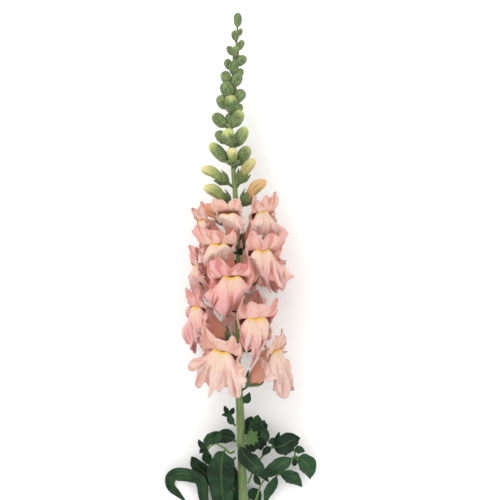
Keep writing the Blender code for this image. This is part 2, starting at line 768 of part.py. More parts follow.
def leaf_grid(width, roll, path):
    """Points of a leaf: a narrow petiole, then a pointed blade with a shallow fold along its midrib."""
    rows = 5 if width < SMALL_LEAF else 7
    across = (-1, 0, 1) if width < SMALL_LEAF else (-1, -0.5, 0, 0.5, 1)
    shares = [0, *(0.1 + 0.9 * i / (rows - 1) for i in range(rows))]
    last = len(path) - 1
    grid = []
    for share in shares:
        centre = through(path, share * last)
        ahead = through(path, min(share + 0.02, 1) * last)
        direction = unit(ahead - through(path, max(share - 0.02, 0) * last))
        side = turned(unit(np.cross(direction, (0, 0, 1.0))), direction, roll)
        up = np.cross(side, direction)
        blade = max((share - PETIOLE_SHARE) / (1 - PETIOLE_SHARE), 0)
        half = PETIOLE_WIDTH / 2 * (1 - PETIOLE_TAPER * share)
        half += width / 2 * math.sin(math.pi * blade**0.8) ** 0.9
        grid.append([centre + side * half * s + up * half * LEAF_FOLD * abs(s) for s in across])
    return np.array(grid)


def make_leaf(name, width, roll, path, look):
    """A leaf, laid flat wherever it comes down to the surface."""
    grid = pressed(leaf_grid(width, roll, path), LEAF_THICKNESS)
    return sheet_object(name, grid, False, LEAF_THICKNESS, look)


def make_shoot(name, twig, leaves, look):
    """A side shoot: a thin twig and its leaves, fused."""
    rings = []
    count = 2 * (len(twig) - 1)
    for i in range(count + 1):
        position = i * (len(twig) - 1) / count
        ahead = through(twig, min(position + 0.05, len(twig) - 1)) - through(twig, max(position - 0.05, 0))
        radius = TWIG_RADIUS * (1 - TWIG_TAPER * i / count)
        rings.append(ring_points(through(twig, position), ahead, np.array(TWIG_TOP), [radius] * TWIG_SIDES))
    stem = lathe_object("twig", rings, look)
    return fused(stem, [make_leaf("leaf", *leaf, look) for leaf in leaves], name)


def clear_scene():
    """Removes every object of the open scene."""
    for old in list(bpy.data.objects):
        bpy.data.objects.remove(old)


def main():
    """Builds the whole stem."""
    clear_scene()
    green = material("stalk_green", (0.15, 0.20, 0.07), 0.55)
    calyx_green = material("calyx_green", (0.17, 0.24, 0.09), 0.6)
    petal = material("petal_pink", (0.78, 0.46, 0.40), 0.6)
    leaf_green = material("leaf_green", (0.035, 0.085, 0.04), 0.5)
    bud_petal = material("bud_petal", (0.53, 0.45, 0.18), 0.6)
    make_stalk(green)
    rng = random.Random(SEED)
    for number, bloom in enumerate(BLOOMS, 1):
        make_corolla(f"corolla_{number:02d}", bloom, rng, petal)
        make_calyx(f"calyx_{number:02d}", bloom, calyx_green)
    for number, bud in enumerate(OPENING_BUDS, 1):
        make_opening_bud(number, bud, calyx_green, bud_petal)
    for name, (width, roll, path) in LEAVES.items():
        make_leaf(name, width, roll, path, leaf_green)
    for name, (twig, leaves) in SHOOTS.items():
        make_shoot(name, twig, leaves, leaf_green)


if __name__ == "__main__":
    main()
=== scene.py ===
import itertools
import json
import math
import random
from collections import namedtuple

import bmesh
import bpy
import numpy as np
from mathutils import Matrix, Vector, noise

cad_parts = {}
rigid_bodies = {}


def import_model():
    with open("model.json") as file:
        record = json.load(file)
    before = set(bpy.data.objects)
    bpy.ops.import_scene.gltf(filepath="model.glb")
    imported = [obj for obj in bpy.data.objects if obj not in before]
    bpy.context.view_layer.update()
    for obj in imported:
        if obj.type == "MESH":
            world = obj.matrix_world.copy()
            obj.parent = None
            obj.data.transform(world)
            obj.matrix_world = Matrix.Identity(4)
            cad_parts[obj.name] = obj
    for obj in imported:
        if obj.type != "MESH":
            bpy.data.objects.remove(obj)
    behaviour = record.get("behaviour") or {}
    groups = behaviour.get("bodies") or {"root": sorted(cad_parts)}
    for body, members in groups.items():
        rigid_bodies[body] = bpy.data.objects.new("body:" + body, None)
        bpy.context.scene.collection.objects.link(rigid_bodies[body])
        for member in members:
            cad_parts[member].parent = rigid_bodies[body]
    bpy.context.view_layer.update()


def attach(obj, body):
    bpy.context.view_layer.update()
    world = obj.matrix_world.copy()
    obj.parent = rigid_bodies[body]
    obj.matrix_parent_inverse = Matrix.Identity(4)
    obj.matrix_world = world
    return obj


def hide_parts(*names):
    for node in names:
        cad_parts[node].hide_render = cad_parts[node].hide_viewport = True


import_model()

mm = 0.001    # places and sizes below are in millimetres, and meshes are made in metres

# the stem lies along Y: heights run up the stalk from its cut end, and z from the floor
stemPlan = {
    "length": 428.04,
    "originAcross": 0.06,
    "path": ((3.6, 0, 3.2), (1.9, 64, 11), (0.8, 101, 17), (-0.2, 131, 22), (-1.5, 154, 26), (-1.9, 191, 30),
             (-1.1, 240, 31.5), (-3.4, 289, 33), (-5.4, 315, 33.5), (-8.2, 350, 34), (-5.6, 379, 34.5),
             (-3.0, 402, 35), (-1.8, 420, 35)),
    "radii": ((0, 3.4), (64, 3.4), (140, 3.1), (156, 2.3), (240, 2.1), (300, 1.9), (350, 1.3), (400, 0.8),
              (420, 0.55)),
}


# curves and turns

def smoothLookup(table, height, column):
    # value at a height on a smooth curve through a table's rows
    heights = [row[0] for row in table]
    values = [row[column] for row in table]
    k = min(max(int(np.searchsorted(heights, height)) - 1, 0), len(heights) - 2)
    span = heights[k + 1] - heights[k]
    t = min(max((height - heights[k]) / span, 0.0), 1.0)

    def slope(i):
        low, high = max(i - 1, 0), min(i + 1, len(heights) - 1)
        return (values[high] - values[low]) / (heights[high] - heights[low])

    rise = values[k + 1] - values[k]
    a = slope(k) * span - rise
    b = rise - slope(k + 1) * span
    return values[k] + t * rise + t * (1 - t) * ((1 - t) * a + t * b)


def throughPoints(points, positions, closed=False):
    # Catmull-Rom curve read at positions counted in points, which may be any array of numbers
    points = np.asarray(points, float)
    positions = np.asarray(positions, float)
    count = len(points)
    if closed:
        k = np.floor(positions).astype(int)
        near = [points[(k + n) % count] for n in (-1, 0, 1, 2)]
    else:
        padded = np.concatenate([[2 * points[0] - points[1]], points, [2 * points[-1] - points[-2]]])
        k = np.clip(np.floor(positions).astype(int), 0, count - 2)
        near = [padded[k + n] for n in (0, 1, 2, 3)]
    t = (positions - k).reshape(positions.shape + (1,) * (points.ndim - 1))
    before, p, q, after = near
    bend = 2 * before - 5 * p + 4 * q - after
    twist = 3 * p - before - 3 * q + after
    return p + 0.5 * ((q - before) * t + bend * t**2 + twist * t**3)


def alongPath(path, position, reach):
    # the point of a path at a position counted in points, and the way that it runs there
    last = len(path) - 1
    ahead = throughPoints(path, min(position + reach, last)) - throughPoints(path, max(position - reach, 0))
    return throughPoints(path, position), ahead


def unit(vector):
    vector = np.asarray(vector, float)
    return vector / np.linalg.norm(vector)


def turned(vector, axis, degrees):
    angle = math.radians(degrees)
    axis = unit(axis)
    return (vector * math.cos(angle) + np.cross(axis, vector) * math.sin(angle)
            + axis * (axis @ vector) * (1 - math.cos(angle)))


def eased(value, low, high):
    t = np.clip((value - low) / (high - low), 0, 1)
    return t * t * (3 - 2 * t)


def stalkPoint(height):
    byHeight = [(h, x, z) for x, h, z in stemPlan["path"]]
    return np.array([smoothLookup(byHeight, height, 1), height, smoothLookup(byHeight, height, 2)])


def stalkDirection(height):
    return unit(stalkPoint(height + 1) - stalkPoint(height - 1))


def stalkRadius(height):
    return smoothLookup(stemPlan["radii"], height, 1)


def facingFrame(height, facing):
    # (across, outward, along) for what faces that way round the stalk
    along = stalkDirection(height)
    angle = math.radians(facing)
    outward = np.array([math.sin(angle), 0, math.cos(angle)])
    outward = unit(outward - along * (outward @ along))
    return np.cross(outward, along), outward, along


def pressedFlat(points, thickness):
    # what would be under the floor is laid flat on it, with a soft bend above
    knee = 1.2
    points = np.array(points, float)
    over = points[..., 2] - thickness / 2
    bend = (over + knee) ** 2 / (4 * knee)
    points[..., 2] = thickness / 2 + np.where(over < -knee, 0, np.where(over < knee, bend, over))
    return points


def inFrame(points):
    # from heights above the cut end to the CAD frame, in metres
    return (np.asarray(points, float) - (stemPlan["originAcross"], stemPlan["length"] / 2, 0)) * mm


# meshes

def storeAttribute(mesh, title, values):
    vectors = np.ndim(values) == 2
    layer = mesh.attributes.new(title, "FLOAT_VECTOR" if vectors else "FLOAT", "POINT")
    layer.data.foreach_set("vector" if vectors else "value", np.ravel(values).astype(np.float32))


def turnOutward(mesh):
    shape = bmesh.new()
    shape.from_mesh(mesh)
    if shape.calc_volume(signed=True) < 0:
        bmesh.ops.reverse_faces(shape, faces=shape.faces)
    shape.to_mesh(mesh)
    shape.free()


def linked(name, data):
    made = bpy.data.objects.new(name, data)
    bpy.context.scene.collection.objects.link(made)
    return made


def addPiece(name, mesh, node):
    piece = linked(name, mesh)
    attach(piece, "root")
    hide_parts(node)
    return piece


def gridFaces(rows, columns, wrap):
    faces = []
    for i in range(rows - 1):
        for j in range(columns if wrap else columns - 1):
            a, b = i * columns + j, i * columns + (j + 1) % columns
            faces.append((a, b, b + columns, a + columns))
    return faces


def closedGrid(grid):
    # a grid of rings with a point at each end: (points, faces)
    rows, columns = grid.shape[:2]
    points = np.vstack([grid.reshape(-1, 3), grid[0].mean(0), grid[-1].mean(0)])
    faces = gridFaces(rows, columns, True)
    start, end, last = len(points) - 2, len(points) - 1, (rows - 1) * columns
    for j in range(columns):
        following = (j + 1) % columns
        faces.append((start, following, j))
        faces.append((end, last + j, last + following))
    return points, faces


def ringPlaces(rows, columns, along, tone=0.0, tip=0.0):
    # for the points of a closed grid: share of the way round, how far along, and a tone
    places = np.zeros((rows * columns + 2, 3))
    places[:-2, 0] = np.tile(np.arange(columns) / columns, rows)
    places[:-2, 1] = np.repeat(along, columns)
    places[-1, 1] = tip
    places[:, 2] = tone
    return places


def ringPoints(centre, direction, top, radii):
    direction = unit(direction)
    up = unit(top - direction * (top @ direction))
    side = np.cross(direction, up)
    angles = evenAngles(len(radii))
    return centre + np.asarray(radii)[:, None] * (np.cos(angles)[:, None] * up + np.sin(angles)[:, None] * side)


def evenAngles(count):
    return 2 * np.pi * np.arange(count) / count


def meshFrom(name, points, faces, look, attributes):
    mesh = bpy.data.meshes.new(name)
    mesh.from_pydata(inFrame(points).tolist(), [], faces)
    mesh.materials.append(look)
    for title, values in attributes.items():
        storeAttribute(mesh, title, values)
    mesh.shade_smooth()
    return mesh


def addForm(name, rings, look, node, attributes):
    # a closed piece made of rings
    mesh = meshFrom(name, *closedGrid(np.array(rings)), look, attributes)
    turnOutward(mesh)
    return addPiece(name, mesh, node)


def addSheet(name, grid, wrap, thickness, look, node, attributes):
    # a blade or a petal: a grid that a wall gives its thickness
    mesh = meshFrom(name, grid.reshape(-1, 3), gridFaces(*grid.shape[:2], wrap), look, attributes)
    piece = addPiece(name, mesh, node)
    wall = piece.modifiers.new("wall", "SOLIDIFY")
    wall.thickness = thickness * mm
    wall.offset = 0


# node expressions

class Wire:
    # an output socket that adds maths nodes when it is used in an expression
    def __init__(self, graph, socket):
        self.graph = graph
        self.socket = socket

    def maths(self, operation, other=0.0, flipped=False):
        ends = {0: other, 1: self} if flipped else {0: self, 1: other}
        return self.graph.node("ShaderNodeMath", {"operation": operation}, ends)

    def beside(self, output):
        # another output of the same node
        return Wire(self.graph, self.socket.node.outputs[output])

    def __add__(self, other): return self.maths("ADD", other)
    def __sub__(self, other): return self.maths("SUBTRACT", other)
    def __rsub__(self, other): return self.maths("SUBTRACT", other, True)
    def __mul__(self, other): return self.maths("MULTIPLY", other)
    def __abs__(self): return self.maths("ABSOLUTE")
    def sine(self): return self.maths("SINE")
    def cosine(self): return self.maths("COSINE")
    def fraction(self): return self.maths("FRACT")
    __radd__, __rmul__ = __add__, __mul__


class Graph:
    # a node tree whose nodes are added by expressions
    def __init__(self, nodeTree):
        self.nodeTree = nodeTree

    def node(self, kind, settings, inputs, output=0):
        made = self.nodeTree.nodes.new(kind)
        column, row = divmod(len(self.nodeTree.nodes), 5)
        made.location = (-260 - 190 * column, 400 - 190 * row)
        for title, value in settings.items():
            setattr(made, title, value)
        for key, value in inputs.items():
            self.plug(made.inputs[key], value)
        return Wire(self, made.outputs[output])

    def plug(self, socket, value):
        if isinstance(value, Wire):
            self.nodeTree.links.new(value.socket, socket)
        else:
            socket.default_value = value


class Look(Graph):
    # a material
    def __init__(self, name, roughness, **fixed):
        self.material = bpy.data.materials.new(name)
        self.material.use_nodes = True
        super().__init__(self.material.node_tree)
        self.shader = self.nodeTree.nodes["Principled BSDF"]
        self.shader.inputs["Roughness"].default_value = roughness
        for title, value in fixed.items():
            self.shader.inputs[title.replace("_", " ")].default_value = value

    def attribute(self, title, output="Fac"):
        return self.node("ShaderNodeAttribute", {"attribute_name": title}, {}, output)

    def place(self):
        return self.node("ShaderNodeTexCoord", {}, {}, "Object")

    def parts(self, vector):
        split = self.node("ShaderNodeSeparateXYZ", {}, {0: vector})
        return [split.beside(k) for k in range(3)]

    def joined(self, x, y, z):
        return self.node("ShaderNodeCombineXYZ", {}, {0: x, 1: y, 2: z})

    def step(self, value, low, high):
        # 0 below low, 1 above high and smooth between
        return self.node("ShaderNodeMapRange", {"interpolation_type": "SMOOTHSTEP"},
                         {0: value, 1: low, 2: high, 3: 0.0, 4: 1.0})

    def band(self, value, low, inner, outer, high):
        return self.step(value, low, inner) * (1 - self.step(value, outer, high))

    def mix(self, factor, first, second, how="MIX"):
        return self.node("ShaderNodeMix", {"data_type": "RGBA", "blend_type": how, "clamp_factor": True},
                         {0: factor, 6: first, 7: second}, 2)

    def layered(self, skin, *layers):
        # colours over one another, each as (how much, colour) or (how much, colour, blend type)
        for layer in layers:
            skin = self.mix(layer[0], skin, *layer[1:])
        return skin

    def noise(self, vector, scale, detail=3.0, rough=0.55):
        return self.node("ShaderNodeTexNoise", {"noise_dimensions": "3D"},
                         {"Vector": vector, "Scale": scale, "Detail": detail, "Roughness": rough})

    def finish(self, skin, height=None, strength=0.0, distance=0.0):
        # the material with its colour, and with a bump where a height is given
        self.plug(self.shader.inputs["Base Color"], skin)
        if height is not None:
            bump = self.node("ShaderNodeBump", {}, {"Height": height, "Strength": strength, "Distance": distance})
            self.plug(self.shader.inputs["Normal"], bump)
        return self.material

    def rough(self, value):
        self.plug(self.shader.inputs["Roughness"], value)


def paint(red, green, blue):
    # screen colour, 0 to 255, as the linear colour that sockets take
    def linear(c):
        c = c / 255
        return c / 12.92 if c <= 0.04045 else ((c + 0.055) / 1.055) ** 2.4
    return (linear(red), linear(green), linear(blue), 1.0)


# petals

petalColors = {
    "hoodPale": paint(223, 187, 175),
    "hoodPeach": paint(219, 172, 150),
    "hoodPink": paint(221, 155, 158),
    "tubeSalmon": paint(222, 149, 117),
    # painted shade for the fold at the base of the hood
    "throat": paint(220, 140, 107),
    "blush": paint(215, 137, 137),
    "cream": paint(221, 198, 170),
    "yellow": paint(227, 186, 36),
    "lipPale": paint(225, 196, 184),
    "lipPink": paint(221, 162, 160),
    # painted shade for the creases between the pleats
    "crease": paint(216, 161, 144),
    "edge": paint(209, 126, 126),
    "edgePale": paint(225, 200, 187),
}


def petalLook():
    look = Look("petal", 0.55, Sheen_Weight=0.25, Sheen_Roughness=0.4, Subsurface_Weight=0.12,
                Subsurface_Scale=0.002, Specular_IOR_Level=0.25)
    step, band, mix, c = look.step, look.band, look.mix, petalColors
    side, along, tone = look.parts(look.attribute("petalPlace", "Vector"))
    around, seed, pale = look.parts(look.attribute("petalRound", "Vector"))
    where = look.place()
    cloud = look.noise(look.joined(around * 9, along * 3.2, seed * 17), 1.0)
    streak = look.noise(look.joined(around * 150, along * 5, seed * 31), 1.0, 2.0, 0.6)
    fleck = look.noise(look.joined(around * 60, along * 34, seed * 7), 1.0, 2.0)
    mottle = look.noise(where, 260.0, 4.0, 0.6)
    crumple = look.noise(where, 420.0, 5.0, 0.6)
    hood = look.layered(
        c["hoodPeach"],
        (step(tone + (cloud - 0.5) * 0.9, 0.2, 0.9), c["hoodPink"]),
        (step(cloud + (0.5 - side) * 0.2, 0.42, 0.7) * 0.75 + pale * 0.35, c["hoodPale"]))
    lip = look.layered(
        c["lipPale"],
        (step(tone + (cloud - 0.5) * 0.8, 0.25, 1.0), c["lipPink"]),
        (step(fleck, 0.5, 0.7) * 0.4, c["lipPink"]),
        (pale * 0.6, c["lipPale"]))
    # painted shade goes in the fold at the hood's base and at the mouth's corners
    fold = band(along, 0.44, 0.54, 0.62, 0.8) * (1 - step(side, 0.3, 0.52))
    cornerShade = band(side, 0.36, 0.46, 0.56, 0.68) * band(along, 0.5, 0.6, 0.74, 0.94)
    front = step(side, 0.66, 0.8) * band(along, 0.5, 0.6, 0.68, 0.86)
    crest = step(side, 0.72, 0.84) * band(along, 0.52, 0.58, 0.625, 0.68)
    runs = step(side, 0.74, 0.86) * band(along, 0.52, 0.6, 0.64, 0.76) * step(streak, 0.5, 0.66)
    yolk = step(crest + runs * 0.75 + (cloud - 0.5) * 0.3 + (mottle - 0.5) * 0.9, 0.3, 0.8)
    # painted shade in the creases
    creaseShade = step(look.attribute("petalCreaseShade"), 0.5, 0.85) * step(along, 0.5, 0.62)
    rim = step(along + (cloud - 0.5) * 0.05, 0.94, 1.0)
    skin = look.layered(
        mix(step(side, 0.36, 0.5), hood, lip),
        # the tube is salmon, and salmon painted shade darkens the folds beside the mouth and its corners
        ((1 - step(along + (fleck - 0.5) * 0.12, 0.3, 0.56)) * 0.85, c["tubeSalmon"]),
        (step(streak, 0.48, 0.7) * (1 - step(along, 0.4, 0.6)) * 0.4, c["hoodPeach"]),
        (fold * (0.75 - pale * 0.35), c["throat"]),
        (cornerShade * (0.5 - pale * 0.3), c["tubeSalmon"]),
        # the palate has a cream front under a yellow crest that runs down in streaks
        (front * 0.6, c["cream"]),
        (yolk * 0.9, c["yellow"]),
        # mottling in deeper pink and peach
        (step(mottle, 0.5, 0.68) * step(along, 0.5, 0.66) * (0.42 - pale * 0.2),
         mix(step(cloud, 0.45, 0.6), c["blush"], c["hoodPeach"])),
        # painted shade makes the creases deeper, and fine veins run to the rim, which is deeper or paler
        (creaseShade * (0.6 - pale * 0.25), c["crease"], "MULTIPLY"),
        (step(streak, 0.54, 0.74) * step(along, 0.5, 0.75) * 0.22, c["edge"], "MULTIPLY"),
        (rim * (0.4 - pale * 0.3), c["edge"]),
        (rim * pale * 0.6, c["edgePale"]))
    look.rough(0.5 + cloud * 0.18)
    return look.finish(skin, streak * 0.5 + fleck * 0.4 + crumple * 1.6, 0.55, 0.0007)


bloomForm = {
    "tubeRise": 46,
    # distance along the tube, then its radius above, beside and below
    "tubeRows": ((1.4, 2.5, 2.5, 2.5), (6.5, 4.4, 4.8, 5.9), (14.5, 5.3, 5.8, 6.2), (22.6, 6.3, 7.2, 6.2)),
    # the lips go on from the tube, from the top of the hood round to the middle of the lower lip
    "lips": (
        ((0, 12.6, 24.4), (0, 17.0, 25.4), (0, 22.6, 25.6), (0, 24.6, 29.2), (0, 25.8, 34.4)),
        ((5.2, 13.2, 24.2), (6.6, 17.6, 25.4), (8.4, 22.8, 25.6), (11.0, 25.6, 31.0), (13.0, 26.4, 38.8)),
        ((8.4, 14.8, 22.2), (10.9, 17.8, 23.8), (13.8, 21.4, 24.6), (17.0, 23.6, 27.6), (20.6, 23.6, 33.2)),
        ((9.2, 17.0, 19.6), (10.8, 18.6, 20.4), (12.6, 20.0, 20.9), (13.2, 21.4, 21.4), (14.6, 22.0, 20.8)),
        ((8.8, 19.2, 19.6), (10.2, 21.4, 20.4), (13.2, 23.2, 16.0), (17.0, 24.6, 12.2), (21.2, 23.2, 8.4)),
        ((7.0, 20.8, 20.8), (8.2, 23.2, 23.4), (10.4, 25.7, 15.6), (13.6, 26.0, 6.2), (17.0, 23.8, -3.4)),
        ((4.4, 21.2, 21.8), (4.7, 24.0, 25.6), (5.0, 27.6, 17.6), (6.2, 26.6, 9.0), (7.8, 25.4, 0.8)),
        ((0, 21.0, 21.2), (0, 23.4, 24.6), (0, 26.8, 15.6), (0, 26.2, 5.0), (0, 23.8, -7.6)),
    ),
    # the same five rows where a bloom hasn't opened: distance along the tube and radius
    "closedRows": ((25.2, 6.6), (27.6, 6.0), (29.8, 4.8), (31.6, 3.0), (32.6, 0.9)),
    "seed": 41,
    "wander": 0.24,
    "thickness": 0.5,
    "columns": 112,
    "rows": 46,
    # waves across and down, how deep they are, and a seed
    "ruffle": (3.4, 2.2, 5.5, 0),
    "pleat": (5.2, 0.8, 3.0, 20),       # folds that run from the mouth to the rims
    "crinkle": (10.0, 8.0, 1.6, 50),
    "frill": (5.0, 0.0, 0.75, 80),      # how uneven the rims are
    "lobeEdges": (0, 3, 6, 8),      # stations where the lobes meet, the last as far past the middle
    "lobeRounding": 0.55,
    "hoodWaves": 0.55,              # share of the waves that the hood has
    "crowding": 0.9,                # below 1, rows lie closer at the rims
    "pedicelReach": 5.8,
    # room between neighbours: roofs over the hoods and walls beside them
    "roof": 11.9,
    "roofSlack": 1.5,
    "sideReach": 12.5,
    "lean": 0.9,
    "leanMost": 55,
    "inReach": 60,
    "rounds": 2,
    "wedgeGap": 1.1,
    "wedgeTurn": 120,
    "sideBySide": 15,
    "squeeze": 0.06,
    "squeezeBend": 0.9,
}
Bloom = namedtuple("Bloom", "height facing size openness tilt turn roll tone paleness")
# height is of the base, and tone runs from 0, peach, to 1, pink
blooms = [Bloom(*row) for row in (
    (255.5, 49, 0.88, 1.0, 5, 0, 4, 0.35, 0.1),
    (257.5, -13, 0.90, 0.62, 4, 0, 0, 0.0, 0.75),
    (254.0, -70, 0.84, 0.92, 0, 0, 0, 0.25, 0.0),
    (231.0, -31, 1.00, 1.0, 0, 4, 0, 0.45, 0.1),
    (226.5, 38, 1.02, 1.0, 0, -4, 3, 0.55, 0.15),
    (212.5, -80, 1.04, 1.0, 0, 0, 0, 0.7, 0.05),
    (207.0, -7, 1.02, 1.0, 0, 0, 3, 0.9, 0.0),
    (184.0, -66, 1.04, 1.0, 0, 0, 4, 0.75, 0.1),
    (178.0, 28, 1.06, 1.0, 0, -4, 0, 0.6, 0.25),
    (156.5, -31, 1.02, 1.0, 0, 4, -10, 0.35, 0.75),
    (150.5, 66, 1.04, 1.0, 2, 0, 0, 0.3, 0.7),
    (221.0, -146, 0.96, 1.0, 0, 0, 0, 0.6, 0.2),
    (226.0, 156, 0.94, 1.0, 0, 0, 0, 0.6, 0.2),
    (181.0, 168, 0.94, 1.0, 0, 0, 0, 0.4, 0.5),
)]


def tubeDirection():
    rise = math.radians(bloomForm["tubeRise"])
    return np.array([0, math.cos(rise), math.sin(rise)])


def tubePoint(distance, angle, top, side, bottom, extra=0.0):
    # angle is 0 on the side of the stalk and pi below
    direction = tubeDirection()
    up = np.array([0, -direction[2], direction[1]])
    vertical = (top if math.cos(angle) > 0 else bottom) + extra
    across = np.array([(side + extra) * math.sin(angle), 0, 0])
    return direction * distance + vertical * math.cos(angle) * up + across


def corollaNet(openness, rng):
    lips = bloomForm["lips"]
    half = len(lips) - 1
    columns = []
    for position in range(2 * half):
        station = position if position <= half else 2 * half - position
        mirror = 1 if position <= half else -1
        angle = math.pi * station / half * mirror
        column = [tubePoint(row[0], angle, *row[1:]) for row in bloomForm["tubeRows"]]
        spread = openness**0.8
        for k, (point, (distance, radius)) in enumerate(zip(lips[station], bloomForm["closedRows"])):
            openPoint = np.array(point, float) * (mirror, 1, 1)
            closedPoint = tubePoint(distance, angle, radius, radius, radius)
            wander = np.array([rng.gauss(0, 1), rng.gauss(0, 1), rng.gauss(0, 1)]) * bloomForm["wander"] * k
            column.append(closedPoint + (openPoint - closedPoint) * spread + wander * openness)
        columns.append(column)
    return np.array(columns)


def bloomFrame(bloom):
    across, outward, along = facingFrame(bloom.height, bloom.facing)
    base = stalkPoint(bloom.height) + outward * (stalkRadius(bloom.height) + bloomForm["pedicelReach"])
    outward, along = turned(outward, across, bloom.tilt), turned(along, across, bloom.tilt)
    across, outward = turned(across, along, bloom.turn), turned(outward, along, bloom.turn)
    across, along = turned(across, outward, bloom.roll), turned(along, outward, bloom.roll)
    return base, bloom.size * across, bloom.size * outward, bloom.size * along


def placed(points, place):
    base, across, outward, along = place
    return base + points @ np.array([across, outward, along])


def heldAbove(points, planePoint, normal, share):
    # points kept on one side of a plane, as petals bend where they meet others
    depth = (points - planePoint) @ normal
    bend, squeeze = bloomForm["squeezeBend"], bloomForm["squeeze"]
    kept = squeeze * depth + (1 - squeeze) * bend * np.logaddexp(0, depth / bend)
    return points + ((kept - depth) * share)[..., None] * normal


def hoodRoof(bloom):
    base, _, outward, along = bloomFrame(bloom)
    rise = math.radians(bloomForm["tubeRise"])
    normal = unit(along * math.cos(rise) - outward * math.sin(rise))
    return base + normal * bloomForm["roof"] * bloom.size, normal


def turnTo(bloom, other):
    return (other.facing - bloom.facing + 180) % 360 - 180


def planeBetween(upper, lower):
    # a lower bloom's roof, leaning to the side that the upper one hangs down on
    base, across, _, _ = bloomFrame(lower)
    turn = turnTo(lower, upper)
    lean = math.radians(min(abs(turn) * bloomForm["lean"], bloomForm["leanMost"]))
    sideways = unit(across) * (-1 if turn > 0 else 1)
    normal = hoodRoof(lower)[1] * math.cos(lean) + sideways * math.sin(lean)
    reach = bloomForm["roof"] * math.cos(lean) + bloomForm["sideReach"] * math.sin(lean)
    return base + normal * reach * lower.size, normal


def heldBelow(grid, point, normal, share):
    return heldAbove(grid, point - normal * bloomForm["roofSlack"], -normal, share)


def givenRoom(grid, bloom, share):
    # lips hang over the hoods below them, and blooms side by side keep to their own wedge
    grid = heldBelow(grid, *hoodRoof(bloom), share)
    for other in blooms * bloomForm["rounds"]:
        rise = bloom.height - other.height
        turn = turnTo(bloom, other)
        if other is bloom or abs(rise) > bloomForm["inReach"]:
            continue
        if abs(rise) >= bloomForm["sideBySide"]:
            if rise > 0:
                grid = heldAbove(grid, *planeBetween(bloom, other), share)
            else:
                grid = heldBelow(grid, *planeBetween(other, bloom), share)
        elif abs(turn) < bloomForm["wedgeTurn"]:
            middle = math.radians(bloom.facing + turn / 2)
            across = np.array([math.cos(middle), 0, -math.sin(middle)]) * (-1 if turn > 0 else 1)
            along = stalkDirection(bloom.height)
            across = unit(across - along * (across @ along))
            edge = stalkPoint(bloom.height) + across * bloomForm["wedgeGap"]
            grid = heldAbove(grid, edge, across, share)
    return grid


def gridNormals(grid):
    alongColumns = np.roll(grid, -1, 1) - np.roll(grid, 1, 1)
    normals = np.cross(alongColumns, np.gradient(grid, axis=0))
    return normals / np.maximum(np.linalg.norm(normals, axis=2, keepdims=True), 1e-9)


def noiseGrid(shape, across, down, seed):
    # smooth noise over a grid that closes on itself across, about -1 to 1
    rows, columns = shape
    values = np.empty(shape)
    for j in range(columns):
        angle = 2 * math.pi * j / columns
        x, y = math.cos(angle) * across, math.sin(angle) * across
        for i in range(rows):
            values[i, j] = noise.noise(Vector((x + seed * 9.7, y, i / rows * down + seed * 3.1)))
    return values * 1.6


def makePetals(number, bloom, rng, look):
    form = bloomForm
    half = len(form["lips"]) - 1
    last = len(form["tubeRows"]) + len(form["lips"][0]) - 1
    rowCount, columnCount = shape = form["rows"], form["columns"]

    def waves(kind, count):
        across, down, depth, seed = form[kind]
        return noiseGrid((count, columnCount), across, down, number + seed) * depth

    stations = np.arange(columnCount) * 2 * half / columnCount
    mirrored = half - np.abs(stations - half)
    columns = throughPoints(corollaNet(bloom.openness, rng), stations, closed=True)
    # lobes between the notches are rounded by reaching past or short of the net's rim
    edges = np.array(form["lobeEdges"])
    lobe = np.searchsorted(edges, np.minimum(mirrored, half - 0.001), "right") - 1
    dome = np.sin(np.pi * np.clip((mirrored - edges[lobe]) / (edges[lobe + 1] - edges[lobe]), 0, 1))
    reach = form["lobeRounding"] * (dome**0.45 - dome) * bloom.openness
    reach = reach + waves("frill", 2)[0]
    rows = np.linspace(0, 1, rowCount) ** form["crowding"] * last
    positions = rows[:, None] + reach[None, :] * eased(rows, 5.5, last)[:, None]
    grid = np.empty(shape + (3,))
    for j in range(columnCount):
        grid[:, j] = throughPoints(columns[j], positions[:, j])
    rise = eased(rows, 5.4, last)[:, None]
    ruffle = waves("ruffle", rowCount) * rise**1.5
    pleat = waves("pleat", rowCount) * rise * (1.2 - 0.5 * rise)
    crease = waves("crinkle", rowCount) * rise**0.7
    soft = form["hoodWaves"] + (1 - form["hoodWaves"]) * eased(mirrored, 2.4, 4.0)[None, :]
    grid = grid + gridNormals(grid) * ((ruffle + pleat + crease) * soft)[..., None] * bloom.openness
    # the valleys are where the petal material paints shade
    valleyShade = np.clip(0.5 + (pleat + crease * 0.8) * 0.55, 0, 1)     # 1 in the creases as seen from the front
    grid = placed(grid, bloomFrame(bloom))
    grid = givenRoom(grid, bloom, np.clip((rows - 1.4) / 1.5, 0, 1)[:, None])
    grid = pressedFlat(grid, form["thickness"])
    place = np.empty(shape + (3,))
    place[..., 0] = mirrored / half
    place[..., 1] = rows[:, None] / last
    place[..., 2] = bloom.tone
    spread = np.empty(shape + (3,))
    spread[..., 0] = np.arange(columnCount) / columnCount
    spread[..., 1] = number
    spread[..., 2] = bloom.paleness
    places = {"petalPlace": place.reshape(-1, 3), "petalRound": spread.reshape(-1, 3), "petalCreaseShade": valleyShade.ravel()}
    addSheet(f"petals_{number:02d}", grid, True, form["thickness"], look,
             f"corolla_{number:02d}", places)


# calyces

calyxForm = {
    "columns": 60,
    "tipRow": 1.3,
    "notchRow": 0.3,
    "wall": 0.6,
    "clearance": 1.05,
    "keel": 0.22,
    "flare": 0.55,
    "pedicelRadius": 0.95,
    "pedicelDrop": 5.0,
    "pedicelBow": 0.8,
    "foot": 1.2,         # how far below the tube the pedicel ends
    "gap": 0.35,         # to the stalk, less how far the rounded end reaches in
    "sink": 0.8,
    "rings": 9,
    "tone": 0.25,
    "colors": (paint(54, 76, 38), paint(98, 120, 66), paint(146, 156, 88)),
}


